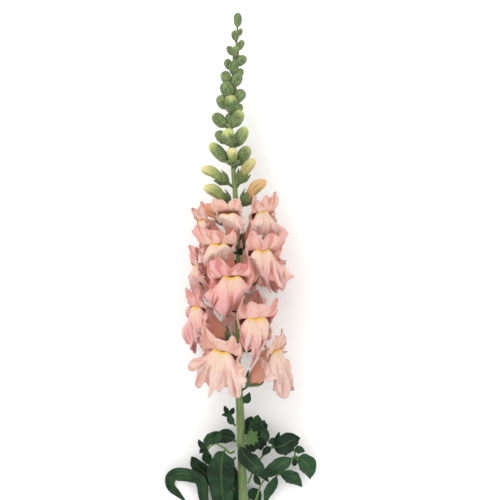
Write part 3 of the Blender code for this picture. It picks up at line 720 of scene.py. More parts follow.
def greenLook(name, colors, roughness):
    # sepals and closed buds: x of the place runs round, y from the root to the tip and z is the tone
    dark, light, tip = colors
    look = Look(name, roughness, Sheen_Weight=0.3, Sheen_Roughness=0.5, Specular_IOR_Level=0.3,
                Subsurface_Weight=0.06, Subsurface_Scale=0.001)
    step = look.step
    around, along, tone = look.parts(look.attribute("budPlace", "Vector"))
    where = look.place()
    mottle = look.noise(where, 900.0, 4.0)
    patch = look.noise(where, 160.0)
    streak = look.noise(look.joined(around * 26, along * 4, tone * 9), 1.0, 2.0)
    seam = step(abs((around * 5 + along * 0.4).fraction() - 0.5), 0.0, 0.12)
    skin = look.layered(
        dark,
        (step(patch * 0.7 + mottle * 0.4 + (streak - 0.5) * 0.35, 0.35, 0.75), light),
        (step(mottle, 0.5, 0.75) * 0.4, light),
        ((1 - seam) * 0.4 * step(tone, 0.02, 0.1), dark),
        (step(along + (patch - 0.5) * 0.25, 0.62, 0.98) * step(tone, 0.05, 0.9), tip))
    return look.finish(skin, mottle * 0.5 + streak * 0.8, 0.5, 0.0003)


def sepalNotch(angles):
    # 0 at the tips of the five sepals and 1 in the notches between them
    return np.abs((angles * 5 / (2 * np.pi) + 0.5) % 1 - 0.5) * 2


def makeCalyx(number, bloom, look):
    form = calyxForm
    place = bloomFrame(bloom)
    direction = unit(tubeDirection() @ np.array(place[1:]))
    startHeight = bloom.height - form["pedicelDrop"]
    outward = facingFrame(startHeight, bloom.facing)[1]
    start = stalkPoint(startHeight) + outward * (stalkRadius(startHeight) + form["gap"] - form["sink"])
    end = place[0] - direction * form["foot"]
    path = np.array([start, (start + end) / 2 + outward * form["pedicelBow"], end])
    columns = form["columns"]
    rings = []
    for share in np.linspace(0, 1, form["rings"]):
        centre, ahead = alongPath(path, share * 2, 0.1)
        radius = form["pedicelRadius"] * (1.25 - 0.3 * math.sin(math.pi * min(share * 1.1, 1)))
        radius += 2 * max(share - 0.7, 0)
        rings.append(ringPoints(centre, ahead, -unit(place[2]), [radius] * columns))
    angles = evenAngles(columns)
    notches = sepalNotch(angles)
    ends = form["notchRow"] + (form["tipRow"] - form["notchRow"]) * (1 - notches**1.25) ** 0.9

    def cup(share, extra, keel):
        points = []
        for angle, end, notch in zip(angles, ends, notches):
            out = extra + form["flare"] * share**3 * (1 - notch)
            out += keel * (1 - notch) ** 2 * math.sin(math.pi * min(share, 0.95))
            row = throughPoints(bloomForm["tubeRows"], end * share)
            points.append(tubePoint(row[0], angle, *row[1:], out / bloom.size))
        return placed(np.array(points), place)

    outside = form["clearance"] + form["wall"]
    rings += [cup(share, outside, form["keel"]) for share in np.linspace(0, 1, form["rings"])]
    rings += [cup(share, form["clearance"], 0) for share in (0.98, 0.75, 0.5, 0.25, 0)]
    along = np.concatenate([np.full(form["rings"], 0.1), np.linspace(0.15, 1, form["rings"]),
                            np.linspace(0.9, 0.2, 5)])
    addForm(f"sepals_{number:02d}", rings, look, f"calyx_{number:02d}",
            {"budPlace": ringPlaces(len(rings), columns, along, form["tone"])})


# opening buds

openingBuds = (
    # height, facing, length, width, lean, then tone of the petals: 0 yellow-green to 1 orange
    (270.0, -118, 34, 10.5, 58, 1.0),
    (281.0, 78, 31, 9.5, 40, 0.75),
    (283.0, -76, 28, 9.5, 44, 0.4),
    (298.0, 68, 26, 8.5, 33, 0.6),
    (299.0, -72, 28, 8.5, 50, 0.15),
    (313.0, 2, 19, 9.5, 36, 0.3),
)
openingForm = {
    "gap": 0.45,
    "sink": 0.8,
    "columns": 48,
    "pedicelRadius": 0.95,
    "keel": 0.25,
    "sepalTone": 0.35,
    "cupEnd": 0.52,
    "cupNotch": 0.34,
    "petalRows": 30,
    # where along the bud, then radius and droop as shares of the width
    "rows": ((0.27, 0.14, 0), (0.36, 0.36, 0), (0.52, 0.4, 0), (0.68, 0.47, 0.02), (0.82, 0.46, 0.12),
             (0.93, 0.32, 0.24), (0.99, 0.12, 0.3)),
    "lobes": (1, 1, 0.9, 1, 1.04, 1, 0.9, 1),
    "lipSeam": 1.75,        # the angle at which the upper lip meets the lower
    "unevenness": 0.12,
    "hairSeed": 20,
}


def budFrame(height, facing, lean):
    _, outward, along = facingFrame(height, facing)
    angle = math.radians(lean)
    direction = outward * math.sin(angle) + along * math.cos(angle)
    inward = along * math.sin(angle) - outward * math.cos(angle)
    return stalkPoint(height) + outward * stalkRadius(height), direction, inward, outward


def ringNoise(angles, spread, level):
    return np.array([noise.noise(Vector((math.cos(a) * spread, math.sin(a) * spread, level))) for a in angles])


def openingLook():
    look = Look("bud_petal", 0.5, Sheen_Weight=0.25, Sheen_Roughness=0.4, Specular_IOR_Level=0.25,
                Subsurface_Weight=0.1, Subsurface_Scale=0.0015)
    step, peach = look.step, paint(216, 158, 112)
    around, along, tone = look.parts(look.attribute("budPlace", "Vector"))
    cloud = look.noise(look.joined(around * 8, along * 3, tone * 13), 1.0)
    streak = look.noise(look.joined(around * 50, along * 4, tone * 5), 1.0, 2.0)
    spots = look.noise(look.place(), 420.0, 4.0, 0.65)
    skin = look.layered(
        paint(140, 156, 92),
        (step(along + (cloud - 0.5) * 0.5 + (spots - 0.5) * 0.4, 0.5, 0.95), paint(208, 204, 138)),
        (step(tone + (cloud - 0.5) * 0.9 + (spots - 0.5) * 0.8, 0.45, 0.95) * 0.9, peach),
        (step(tone + along * 0.4 + (streak - 0.5) * 0.5, 1.05, 1.4), paint(226, 150, 124)),
        (step(spots, 0.52, 0.7) * 0.45, peach))
    return look.finish(skin, streak * 0.6 + cloud, 0.4, 0.0004)


def makeOpeningBud(number, bud, green, petal, down):
    height, facing, length, width, lean, tone = bud
    form, calyx = openingForm, f"bud_calyx_{number:02d}"
    root, direction, inward, outward = budFrame(height, facing, lean)
    root = root + outward * (form["gap"] - form["sink"])
    columns, half = form["columns"], width / 2
    angles = evenAngles(columns)
    notches = sepalNotch(angles)
    keel = form["keel"] * (1 - notches) ** 2
    depth = length * (form["cupEnd"] - form["cupNotch"])
    # share of the length, radius, and how far the notches between the sepals have opened
    cup = ((0.06, 0.95, 0), (0.12, 0.98, 0), (0.16, 1.6, 0), (0.2, width * 0.34, 0), (0.26, half * 0.92, 0),
           (0.32, half + 0.5, 0.2), (0.38, half + 0.75, 0.45), (0.45, half + 0.85, 0.75), (0.5, half + 0.8, 0.94),
           (0.53, half + 0.85, 1), (0.53, half + 0.45, 1), (0.45, half + 0.2, 0.75), (0.38, half + 0.05, 0.45),
           (0.28, width * 0.3, 0))
    rings = [ringPoints(root, outward, direction, [form["pedicelRadius"]] * columns)]
    for share, radius, lobed in cup:
        ring = ringPoints(root + direction * length * share, direction, inward, radius + keel)
        rings.append(ring - direction * (depth * lobed * notches**1.2)[:, None])
    along = [0.1] + [min(row[0] * 1.8, 1) for row in cup]
    sepals = addForm(f"bud_sepals_{number:02d}", rings, green, calyx,
                     {"budPlace": ringPlaces(len(rings), columns, along, form["sepalTone"])})
    growHairs(f"sepal_hairs_{number:02d}", sepals.data, down, calyx, "bud",
              form["hairSeed"] + number)
    # the petals are two lips, folded together, with the upper one over the lower
    table, lobes = np.array(form["rows"]), form["lobes"]
    lobes = throughPoints(lobes, angles * len(lobes) / (2 * np.pi), closed=True)
    fromTop = np.minimum(angles, 2 * np.pi - angles)
    groove = np.exp(-((fromTop - form["lipSeam"]) / 0.16) ** 2)
    crest = np.exp(-(fromTop / 0.14) ** 2)
    rowCount = form["petalRows"]
    rings = []
    for share, radius, droop in throughPoints(table, np.linspace(0, len(table) - 1, rowCount)):
        centre = root + direction * length * share - inward * width * droop
        waves = ringNoise(angles, 2, share * 5 + number) + 0.5 * ringNoise(angles, 4, share * 9 + number)
        radii = lobes * (1 - 0.2 * groove - 0.24 * crest * max(share - 0.5, 0)) + waves * form["unevenness"]
        rings.append(ringPoints(centre, direction, inward, width * radius * radii))
    addForm(f"bud_lips_{number:02d}", rings, petal, f"bud_petals_{number:02d}",
            {"budPlace": ringPlaces(rowCount, columns, np.linspace(0.2, 1, rowCount), tone, 1)})


# stalk and closed buds

closedBuds = (
    # height, facing, length, width, lean, then how far the yellow tip shows
    (313.0, 96, 19, 8.4, 36, 0.5),
    (316.0, -82, 22, 8.0, 41, 0.8),
    (328.0, -8, 16, 8.8, 30, 1.0),
    (327.0, 84, 19, 8.2, 36, 0.7),
    (331.0, -112, 14, 7.4, 42, 0.1),
    (343.0, -84, 15, 8.0, 44, 0.2),
    (342.0, 76, 16, 8.4, 32, 0.6),
    (345.0, 170, 12, 7.0, 40, 0.1),
    (352.0, 92, 12, 6.4, 42, 0.2),
    (354.0, 14, 14, 8.2, 22, 0.6),
    (356.0, -80, 13, 7.4, 36, 0.2),
    (361.0, 82, 14, 7.8, 38, 0.2),
    (365.0, -48, 13, 8.8, 26, 0.2),
    (368.0, 176, 10, 6.0, 38, 0.1),
    (373.0, 50, 12, 7.0, 25, 0.2),
    (374.5, -82, 12, 7.0, 34, 0.2),
    (379.0, 94, 10.5, 5.4, 32, 0.2),
    (381.5, -2, 12, 6.4, 16, 0.1),
    (385.5, -86, 10, 5.4, 36, 0.2),
    (389.0, 84, 11, 6.2, 38, 0.35),
    (392.0, 174, 9, 4.6, 32, 0.1),
    (395.0, -10, 9.5, 5.0, 14, 0.3),
    (396.5, -86, 9, 4.6, 40, 0.1),
    (400.0, 84, 10, 4.4, 22, 0.4),
    (407.0, -40, 9, 5.0, 16, 0.3),
    (411.0, 84, 7, 3.2, 20, 0.3),
    (417.0, -10, 12, 5.4, 4, 0.1),
)
bracts = ((143, -72, 7), (136, 80, 9), (168, -20, 6), (198, 60, 6), (240, -100, 6), (248, 20, 6))
bractForm = {
    "lean": 48,
    "width": 0.62,
    "seed": 60,
}
budForm = {
    # how far along and the radius
    "profile": ((-0.06, 0.12), (0.06, 0.13), (0.12, 0.17), (0.19, 0.33), (0.3, 0.47), (0.46, 0.54), (0.62, 0.55),
                (0.76, 0.51), (0.87, 0.42), (0.94, 0.3), (0.98, 0.17), (0.995, 0.03)),
    "columns": 30,
    "rows": 24,
    "sepals": 5,
    "ribDepth": 0.10,
    "seamDepth": 0.16,
    "colors": (paint(64, 88, 44), paint(124, 142, 88), paint(194, 198, 118)),
    "hairSeed": 5,
}
stalkForm = {
    "sides": 40,
    "rings": 190,
    "ribs": 7,
    "ribDepth": 0.05,
    "cutSlant": 2.4,
    "cutReach": 12,
    "hairSeed": 9,
}


def budPrototype():
    # one bud of length 1 and width 1, standing on +Z, which the tree below copies
    columns, sepals, table = budForm["columns"], budForm["sepals"], np.array(budForm["profile"])
    angles = evenAngles(columns)
    rows = throughPoints(table, np.linspace(0, len(table) - 1, budForm["rows"]))
    grid = []
    for height, radius in rows:
        phase = angles + 0.5 * height
        ribs = budForm["ribDepth"] * np.cos(sepals * phase) * min(max(height * 3, 0), 1)
        seam = np.abs((phase * sepals / (2 * np.pi)) % 1 - 0.5)
        seams = budForm["seamDepth"] * np.exp(-(seam / 0.08) ** 2) * min(max(height * 2.2 - 0.3, 0), 1)
        r = radius * (1 + ribs - seams)
        grid.append(np.stack([np.cos(angles) * r, np.sin(angles) * r, np.full(columns, height)], 1))
    points, faces = closedGrid(np.array(grid))
    mesh = bpy.data.meshes.new("bud")
    mesh.from_pydata(points.tolist(), [], faces)
    storeAttribute(mesh, "budShape", ringPlaces(len(rows), columns, rows[:, 0], tip=1))
    mesh.shade_smooth()
    turnOutward(mesh)
    return bpy.data.objects.new("bud", mesh)


class Tree(Graph):
    # a geometry node tree with named inputs
    def __init__(self, name, sockets):
        super().__init__(bpy.data.node_groups.new(name, "GeometryNodeTree"))
        face = self.nodeTree.interface
        face.new_socket("Geometry", in_out="INPUT", socket_type="NodeSocketGeometry")
        self.ids = {}
        for title, kind in sockets.items():
            socket = face.new_socket(title, in_out="INPUT", socket_type="NodeSocket" + kind)
            self.ids[title] = socket.identifier
        face.new_socket("Geometry", in_out="OUTPUT", socket_type="NodeSocketGeometry")
        self.source = self.nodeTree.nodes.new("NodeGroupInput")
        self.sink = self.nodeTree.nodes.new("NodeGroupOutput")

    def input(self, title):
        return Wire(self, self.source.outputs[title])

    def scaled(self, vector, factor):
        return self.node("ShaderNodeVectorMath", {"operation": "SCALE"}, {0: vector, "Scale": factor})

    def attribute(self, title, kind):
        return self.node("GeometryNodeInputNamedAttribute", {"data_type": kind}, {"Name": title})

    def copies(self, points, thing, turn, size):
        return self.node("GeometryNodeInstanceOnPoints", {},
                         {"Points": points, "Instance": thing, "Rotation": turn, "Scale": size})

    def finish(self, geometry, material):
        real = self.node("GeometryNodeRealizeInstances", {}, {0: geometry})
        painted = self.node("GeometryNodeSetMaterial", {}, {0: real, "Material": material})
        self.plug(self.sink.inputs[0], painted)


def grownMesh(name, source, tree, values):
    # the modifier's result as a plain mesh
    grower = source.modifiers.new("grow", "NODES")
    grower.node_group = tree.nodeTree
    for title, value in values.items():
        grower[tree.ids[title]] = value
    source.update_tag()
    bpy.context.view_layer.update()
    mesh = bpy.data.meshes.new_from_object(source.evaluated_get(bpy.context.evaluated_depsgraph_get()))
    mesh.name = name
    source.modifiers.clear()
    bpy.data.objects.remove(source)
    return mesh


def pointCloud(name, points, edges, attributes):
    # what a tree grows on
    mesh = bpy.data.meshes.new(name)
    mesh.from_pydata(points.tolist(), edges, [])
    for title, values in attributes.items():
        storeAttribute(mesh, title, values)
    return linked(name, mesh)


def budTree(look):
    # copies the bud to each point, turned to its direction and sized by its length and width
    tree = Tree("buds_on_a_spire", {"Bud": "Object", "Size": "Float"})
    bud = tree.node("GeometryNodeObjectInfo", {"transform_space": "ORIGINAL"}, {"Object": tree.input("Bud")},
                    "Geometry")
    turn = tree.node("FunctionNodeAlignRotationToVector", {"axis": "Z"},
                     {"Vector": tree.attribute("direction", "FLOAT_VECTOR")})
    size = tree.scaled(tree.attribute("scale", "FLOAT_VECTOR"), tree.input("Size"))
    tree.finish(tree.copies(tree.input("Geometry"), bud, turn, size), look)
    return tree


def stalkTree(look):
    # a tube along the stalk whose radius comes from the line, with shallow ribs
    tree = Tree("ribbed_stalk", {"Sides": "Int", "Ribs": "Float", "Rib Depth": "Float"})
    depth = tree.input("Rib Depth")
    curve = tree.node("GeometryNodeMeshToCurve", {}, {0: tree.input("Geometry")})
    radius = tree.attribute("thickness", "FLOAT")
    thick = tree.node("GeometryNodeSetCurveRadius", {}, {0: curve, "Radius": radius})
    ring = tree.node("GeometryNodeCurvePrimitiveCircle", {"mode": "RADIUS"},
                     {"Resolution": tree.input("Sides"), "Radius": 1.0})
    around = tree.node("GeometryNodeSplineParameter", {}, {}, "Factor")
    wave = (around * tree.input("Ribs") * (2 * math.pi)).cosine() * depth
    place = tree.node("GeometryNodeInputPosition", {}, {})
    ribbed = tree.scaled(place, wave + (1.0 - depth))
    profile = tree.node("GeometryNodeSetPosition", {}, {0: ring, "Position": ribbed})
    kept = tree.node("GeometryNodeStoreNamedAttribute", {"data_type": "FLOAT", "domain": "POINT"},
                     {0: profile, "Name": "around", "Value": around})
    tube = tree.node("GeometryNodeCurveToMesh", {}, {"Curve": thick, "Profile Curve": kept, "Fill Caps": True})
    sockets = tube.socket.node.inputs
    if "Scale" in sockets:
        tree.plug(sockets["Scale"], radius)
    tree.finish(tube, look)
    return tree


def stalkLook():
    look = Look("stalk", 0.45, Sheen_Weight=0.2, Sheen_Roughness=0.5, Specular_IOR_Level=0.35,
                Subsurface_Weight=0.05, Subsurface_Scale=0.0015)
    step, mix = look.step, look.mix
    where = look.place()
    x, y, z = look.parts(where)
    ribs = ((look.attribute("around") * 2 * math.pi * stalkForm["ribs"]).sine() + 1) * 0.5
    streak = look.noise(look.joined(x * 900, y * 24, z * 900), 1.0)
    patches = step(look.noise(where, 60.0), 0.35, 0.7)
    low = mix(patches, paint(84, 108, 58), paint(112, 134, 78))
    high = mix(patches, paint(118, 138, 78), paint(150, 164, 106))
    skin = look.layered(
        mix(step(y, -0.16, 0.06), low, high),
        # paler streaks along the stalk: partly its own striping and partly painted highlight for its gloss
        (step(streak, 0.45, 0.75) * 0.5, paint(156, 168, 104)),
        ((1 - ribs) * 0.3, paint(66, 92, 48)))
    return look.finish(skin, streak + ribs * 0.3, 0.35, 0.0003)


hairForm = {
    "radius": 0.045,
    # hairs in a square metre and their length
    "bud": (900000.0, 0.75),
    "stalk": (500000.0, 0.6),
    "lowest": 0.05,
    "sway": 0.35,
    "spin": 3.1,
}


def hairLook():
    look = Look("hair", 0.5, Sheen_Weight=0.3)
    patches = look.step(look.noise(look.place(), 90.0, 2.0), 0.3, 0.7)
    return look.finish(look.mix(patches, paint(206, 214, 176), paint(168, 184, 128)))


def hairTree(look):
    # short hairs all over a mesh, each a thin cone of three sides that leans its own way
    tree = Tree("hairs", {"Density": "Float", "Length": "Float", "Radius": "Float", "Seed": "Int"})
    seed = tree.input("Seed")
    spots = tree.node("GeometryNodeDistributePointsOnFaces", {"distribute_method": "RANDOM"},
                      {"Mesh": tree.input("Geometry"), "Density": tree.input("Density"), "Seed": seed}, "Points")
    hair = tree.node("GeometryNodeMeshCone", {"fill_type": "NONE"},
                     {"Vertices": 3, "Side Segments": 1, "Radius Top": 0.0, "Radius Bottom": tree.input("Radius"),
                      "Depth": tree.input("Length")}, "Mesh")
    size = tree.node("FunctionNodeRandomValue", {"data_type": "FLOAT"}, {2: 0.5, 3: 1.2, "Seed": seed}, 1)
    most = (hairForm["sway"], hairForm["sway"], hairForm["spin"])
    sway = tree.node("FunctionNodeRandomValue", {"data_type": "FLOAT_VECTOR"},
                     {0: tuple(-value for value in most), 1: most, "Seed": seed})
    turn = tree.node("FunctionNodeRotateRotation", {"rotation_space": "LOCAL"},
                     {0: spots.beside("Rotation"), 1: sway})
    tree.finish(tree.copies(spots, hair, turn, size), look)
    return tree


def growHairs(name, mesh, look, node, kind, seed):
    density, length = hairForm[kind]
    source = linked(name + "_source", mesh.copy())
    grown = grownMesh(name, source, hairTree(look), {"Density": density, "Length": length * mm,
                                                     "Radius": hairForm["radius"] * mm, "Seed": seed})
    for point in grown.vertices:
        point.co.z = max(point.co.z, hairForm["lowest"] * mm)
    addPiece(name, grown, node)
    print(name, "made:", len(grown.polygons) // 3)


def readAttribute(mesh, title, size):
    values = np.empty(len(mesh.vertices) * size, np.float32)
    mesh.attributes[title].data.foreach_get("vector" if size == 3 else "value", values)
    return values.reshape(-1, size)


def makeStalk(look, budLook, down):
    slot, node = "stalk_green", "stalk_with_closed_buds"
    heights = np.linspace(0, stemPlan["path"][-1][1], stalkForm["rings"])
    line = inFrame([stalkPoint(h) for h in heights])
    source = pointCloud("stalk_line", line, [(i, i + 1) for i in range(len(line) - 1)],
                        {"thickness": np.array([stalkRadius(h) * mm for h in heights])})
    stalk = grownMesh("stalk", source, stalkTree(look), {
        "Sides": stalkForm["sides"], "Ribs": float(stalkForm["ribs"]), "Rib Depth": stalkForm["ribDepth"]})
    # the cut end is slanted, as secateurs leave it
    endX, endY, _ = line[0]
    for vertex in stalk.vertices:
        nearCut = max(1 - (vertex.co.y - endY) / (stalkForm["cutReach"] * mm), 0)
        lean = ((vertex.co.x - endX) / (stalkRadius(0) * mm) + 1) / 2
        vertex.co.y += nearCut * lean * stalkForm["cutSlant"] * mm
        vertex.co.z = max(vertex.co.z, 0)
    stalk.shade_smooth()
    turnOutward(stalk)
    addPiece("stalk", stalk, node)
    # closed buds, by their own tree
    roots, directions, scales = [], [], []
    for height, facing, length, width, lean, _ in closedBuds:
        root, direction = budFrame(height, facing, lean)[:2]
        roots.append(root)
        directions.append(direction)
        scales.append((width * mm, width * mm, length * mm))
    tones = [row[-1] for row in closedBuds]
    source = pointCloud("bud_roots", inFrame(roots), [], {"direction": directions, "scale": scales, "tone": tones})
    buds = grownMesh("closed_buds", source, budTree(budLook), {"Bud": budPrototype(), "Size": 1.0})
    places = readAttribute(buds, "budShape", 3)
    places[:, 2] = readAttribute(buds, "tone", 1)[:, 0]
    storeAttribute(buds, "budPlace", places)
    buds.shade_smooth()
    addPiece("closed_buds", buds, node)
    growHairs("bud_hairs", buds, down, node, "bud", budForm["hairSeed"])
    growHairs("stalk_hairs", stalk, down, node, "stalk", stalkForm["hairSeed"])


# leaves

freshSeed = 500      # leaves with a seed from here on are young and light
leafForm = {
    "petiole": 1.8,
    "petioleShare": 0.12,
    "fold": 0.28,
    "midribDepth": 0.25,
    "thickness": 0.45,
    "rows": 34,
    "columns": 15,
    "fullWidth": 10,        # narrower leaves are smoother
    "wave": 1.15,
    "ragged": 0.2,
    "twigRadius": 0.9,
    "twigSides": 12,
}
# each leaf is (width, roll, centreline), as in the CAD solids
leaves = {
    "leaf_crossing": (12, 6, ((-2.2, 105, 22), (4, 96, 25), (12, 88, 26), (21.5, 76, 21.5))),
    "leaf_under": (14, 8, ((-3.6, 93, 12), (-8, 86, 9), (-7.5, 72, 4), (-6.5, 54, 0), (-6.5, 36, -2))),
    "leaf_left": (12, -12, ((-4.2, 68, 9.5), (-13.5, 73.5, 9.5), (-26, 79, 8), (-34, 87, 6), (-37.5, 92, 3))),
    "leaf_left_arched": (
        10.5, -24, ((-1.6, 30, 4.4), (-15, 42, 4), (-27, 58, 8), (-29, 73, 12), (-34, 79, 13), (-45, 80.5, 10),
                    (-53, 77, 6), (-54, 69, 2.5), (-48, 62, -0.5), (-41, 56, -1.5))),
    "leaf_left_low": (9, 0, ((-2.4, 46, 7), (-9, 50, 5.4), (-18, 60, 3.4), (-22, 75, -0.5))),
    "leaf_behind": (10, 14, ((-3.2, 105, 14.5), (-8, 108, 12), (-14, 108, 9), (-19.5, 102, 5.5))),
    "leaf_right_low": (8, -10, ((5.8, 58, 7.5), (9.5, 64, 5.5), (12.5, 61, 3), (14, 51, -1))),
}
# each shoot is its twig's centreline and its leaves
shoots = {
    "shoot_left_small": (
        ((-3.6, 118, 20), (-6, 121, 21), (-8.3, 126.5, 21.5)),
        ((4.5, 10, ((-4.2, 119, 22), (-7.4, 123, 23), (-8.4, 129, 22))),
         (3, 0, ((-8, 126, 21.5), (-10.6, 130, 21), (-12, 133, 20))),
         (2.4, 0, ((-8, 125.5, 21.5), (-11, 126.5, 20.5), (-14, 126, 19))),
         (3, 0, ((-8, 126, 21.5), (-6, 129.5, 22.5), (-5, 132, 22.5))))),
    "shoot_left": (
        ((-4.4, 98, 18), (-8, 97.5, 20.5), (-11.5, 101, 23.5), (-18, 104.5, 23), (-25, 101, 20)),
        ((19, -8, ((-11, 100.5, 23), (-13.5, 95, 23), (-14.5, 80, 19), (-13, 60, 14), (-11, 38, 9))),
         (9, 10, ((-24.5, 101.5, 20.2), (-24, 106, 21), (-19.5, 110, 20.5), (-14, 112.5, 17))),
         (4.4, 0, ((-24, 101.2, 20), (-28, 99.5, 18), (-31, 96.5, 14.5))),
         (6.5, -20, ((-24, 101.2, 20), (-26, 96, 18), (-24.5, 91, 14.5), (-20, 86, 12.5))))),
    "shoot_right_inner": (
        ((5.2, 105, 18.5), (8, 109, 20.5), (11, 113.5, 22)),
        ((9.5, 0, ((9.5, 111.5, 21), (12, 118, 19.5), (13.5, 125.5, 15))),
         (5, 0, ((10, 112, 22), (12, 117, 25.5), (14.5, 121.5, 26.5))),
         (7.5, 14, ((10, 112, 21.5), (15.5, 114.5, 24), (19, 111.5, 24.5), (21, 106.5, 23.5))),
         (9, 0, ((9, 110, 20.5), (13.5, 104.5, 18), (16.5, 99, 13.5))))),
    "shoot_right": (
        ((6.1, 73, 12), (8, 78, 13), (13.5, 89.5, 15), (24, 101.5, 16.5), (33, 104, 14.5), (40.5, 100, 14.5),
         (42, 93, 16)),
        ((3.4, 0, ((26, 102, 16.5), (28, 107.5, 19), (29.6, 113, 18))),
         (5, 0, ((28, 103, 16), (25, 106, 19), (21.5, 105, 20))),
         (14, -8, ((23.5, 101, 16.5), (31, 102.5, 21), (38, 106.5, 21), (45.5, 107.5, 16))),
         (10, 8, ((42, 94, 16), (33, 89.5, 18.5), (24, 84, 18), (16, 77, 14.5))),
         (12.5, -14, ((42, 94, 16), (48, 91, 18), (52.5, 85, 15.5), (54, 76, 9))),
         (3.4, 0, ((42, 94.5, 15.6), (41.6, 89, 13), (40.5, 86, 10.5))))),
    "shoot_right_low": (
        ((6.9, 48, 9), (12, 60, 10), (15.5, 71, 11.5), (21, 78, 12), (29, 80, 11)),
        ((9.5, 10, ((28, 80, 11.2), (36, 79, 11), (42, 75.5, 8.5), (47.5, 69, 5))),
         (6.5, 0, ((28.5, 80.2, 11.4), (25.5, 72.5, 10), (21, 64, 6), (19, 55, 2.6))))),
}
# leaves that crowd the shoots, where the CAD solids have a few broad ones
extraLeaves = {
    "shoot_right_inner": (
        (8.5, 4, ((8, 108.5, 19.5), (6.4, 114, 18.5), (7.2, 120, 16), (8.6, 124, 12))),
        (8, -6, ((9, 109, 19), (15, 107, 17), (20, 102, 13))),
        (7.5, 8, ((8.6, 108, 19), (8.6, 102, 16.5), (10.5, 97, 12))),
        (8, 0, ((10, 111, 20), (16, 117, 19), (18.6, 121.5, 15.5))),
    ),
    "shoot_right": (
        (4, 0, ((33, 104, 14.5), (35, 99, 17), (34, 94.5, 16.5))),
        (4.5, 10, ((24, 101.5, 16.5), (20, 99, 18.5), (17, 95, 17))),
        (5, -8, ((41, 98, 15), (45, 99.5, 17.5), (49, 98, 17))),
    ),
    "shoot_left": (
        (5, 8, ((-18, 104.5, 23), (-17, 109, 22), (-13.5, 113.5, 19))),
        (4, 0, ((-24.5, 101.5, 20.2), (-29, 103, 20), (-32, 107, 17))),
    ),
    "shoot_right_low": (
        (6, 0, ((21, 78, 12), (25, 83, 14), (30, 85.5, 12.5))),
        (4, 0, ((15.5, 71, 11.5), (12.5, 76, 13.5), (11, 80, 13))),
    ),
}
youngLeaves = {
    "star": (8.6, 109.5, 25.4),
    "count": 9,
    "length": 6.8,
    "width": 2.3,
    "lift": 0.5,
    "droop": 1.2,
}


def leafLook():
    look = Look("leaf", 0.42, Specular_IOR_Level=0.2, Sheen_Weight=0.02, Sheen_Roughness=0.5,
                Subsurface_Weight=0.05, Subsurface_Scale=0.001)
    step = look.step
    across, along, tone = look.parts(look.attribute("leafPlace", "Vector"))
    where = look.place()
    patch = look.noise(where, 120.0)
    grain = look.noise(where, 900.0, 4.0)
    shade = look.noise(where, 45.0, 3.0, 0.6)
    away = abs(across)
    midrib = 1 - step(away, 0.03, 0.12)
    rows = (along * 13 - away * 1.6 + patch * 0.35).fraction()
    sideVeins = look.band(rows, 0.4, 0.5, 0.52, 0.62) * step(away, 0.04, 0.2)
    dark, middle, light = paint(12, 34, 18), paint(36, 70, 40), paint(106, 134, 74)
    skin = look.layered(
        dark,
        (step(patch * 0.6 + shade * 0.6 + tone * 0.5 - 0.35, 0.25, 0.75), middle),
        (step(shade, 0.52, 0.72) * (1 - away * 0.4) * 0.45, paint(74, 106, 64)),
        (step(grain, 0.5, 0.8) * 0.25, middle),
        (sideVeins * 0.08 + midrib * 0.4 * (1 - along * 0.6), light),
        (step(tone, 1.1, 1.4) * 0.55, light),
        ((1 - step(along, 0.04, 0.16)) * 0.7, light))
    look.rough(0.36 + patch * 0.2)
    return look.finish(skin, grain * 0.25 + patch * 1.5 - sideVeins * 0.7 - midrib, 0.6, 0.0005)


def leafGrid(width, roll, path, seed):
    form = leafForm
    path = np.array(path, float)
    last = len(path) - 1
    small = min(width / form["fullWidth"], 1)
    grid, places = [], []
    for share in np.linspace(0, 1, form["rows"]):
        centre, ahead = alongPath(path, share * last, 0.02 * last)
        direction = unit(ahead)
        side = turned(unit(np.cross(direction, (0, 0, 1.0))), direction, roll)
        up = np.cross(side, direction)
        blade = max((share - form["petioleShare"]) / (1 - form["petioleShare"]), 0)
        half = form["petiole"] / 2 * (1 - 0.8 * share) * (0.6 + 0.4 * small)
        half += width / 2 * max(math.sin(math.pi * blade**0.8), 0) ** 0.9
        ragged = [half * (1 + form["ragged"] * small * noise.noise(Vector((share * 6, sign * 4.0, seed * 1.7))))
                  for sign in (-1, 1)]
        for s in np.linspace(-1, 1, form["columns"]):
            bend = noise.noise(Vector((share * 5 + seed * 3.3, s * 0.8 + seed, seed)))
            edge = math.sin(share * 19 + seed + (1 if s > 0 else 0)) * abs(s) ** 3
            lift = half * form["fold"] * abs(s) ** 1.3
            lift += (bend * 1.4 + edge * 0.45) * form["wave"] * small * blade
            lift -= form["midribDepth"] * math.exp(-(s / 0.16) ** 2) * min(half / 3, 1)
            grid.append(centre + side * ragged[s > 0] * s + up * lift)
            places.append((s, share, (seed * 0.37) % 1 if seed < freshSeed else 1.5))
    return np.array(grid).reshape(form["rows"], form["columns"], 3), np.array(places)


def makeLeaf(name, leaf, seed, look, node):
    grid, places = leafGrid(*leaf, seed)
    thickness = leafForm["thickness"]
    addSheet(name, pressedFlat(grid, thickness), False, thickness, look, node, {"leafPlace": places})


def makeTwig(name, path, look, node):
    path = np.array(path, float)
    last = len(path) - 1
    count = 8 * last
    rings = []
    for i in range(count + 1):
        centre, ahead = alongPath(path, i * last / count, 0.05)
        radius = leafForm["twigRadius"] * (1 - 0.3 * i / count) * (1 + 0.06 * math.sin(i * 2.1))
        rings.append(ringPoints(centre, ahead, np.array([0.2, 0, 1.0]), [radius] * leafForm["twigSides"]))
    addForm(name, rings, look, node, {})


def makeBract(number, bract, look):
    height, facing, length = bract
    root, direction, inward, _ = budFrame(height, facing, bractForm["lean"])
    path = (root - direction * 0.6, root + direction * length * 0.4 + inward * 0.3,
            root + direction * length + inward * length * 0.25)
    makeLeaf(f"bract_{number}", (length * bractForm["width"], 0, path), number + bractForm["seed"], look,
             "stalk_with_closed_buds")


# floor, light and camera

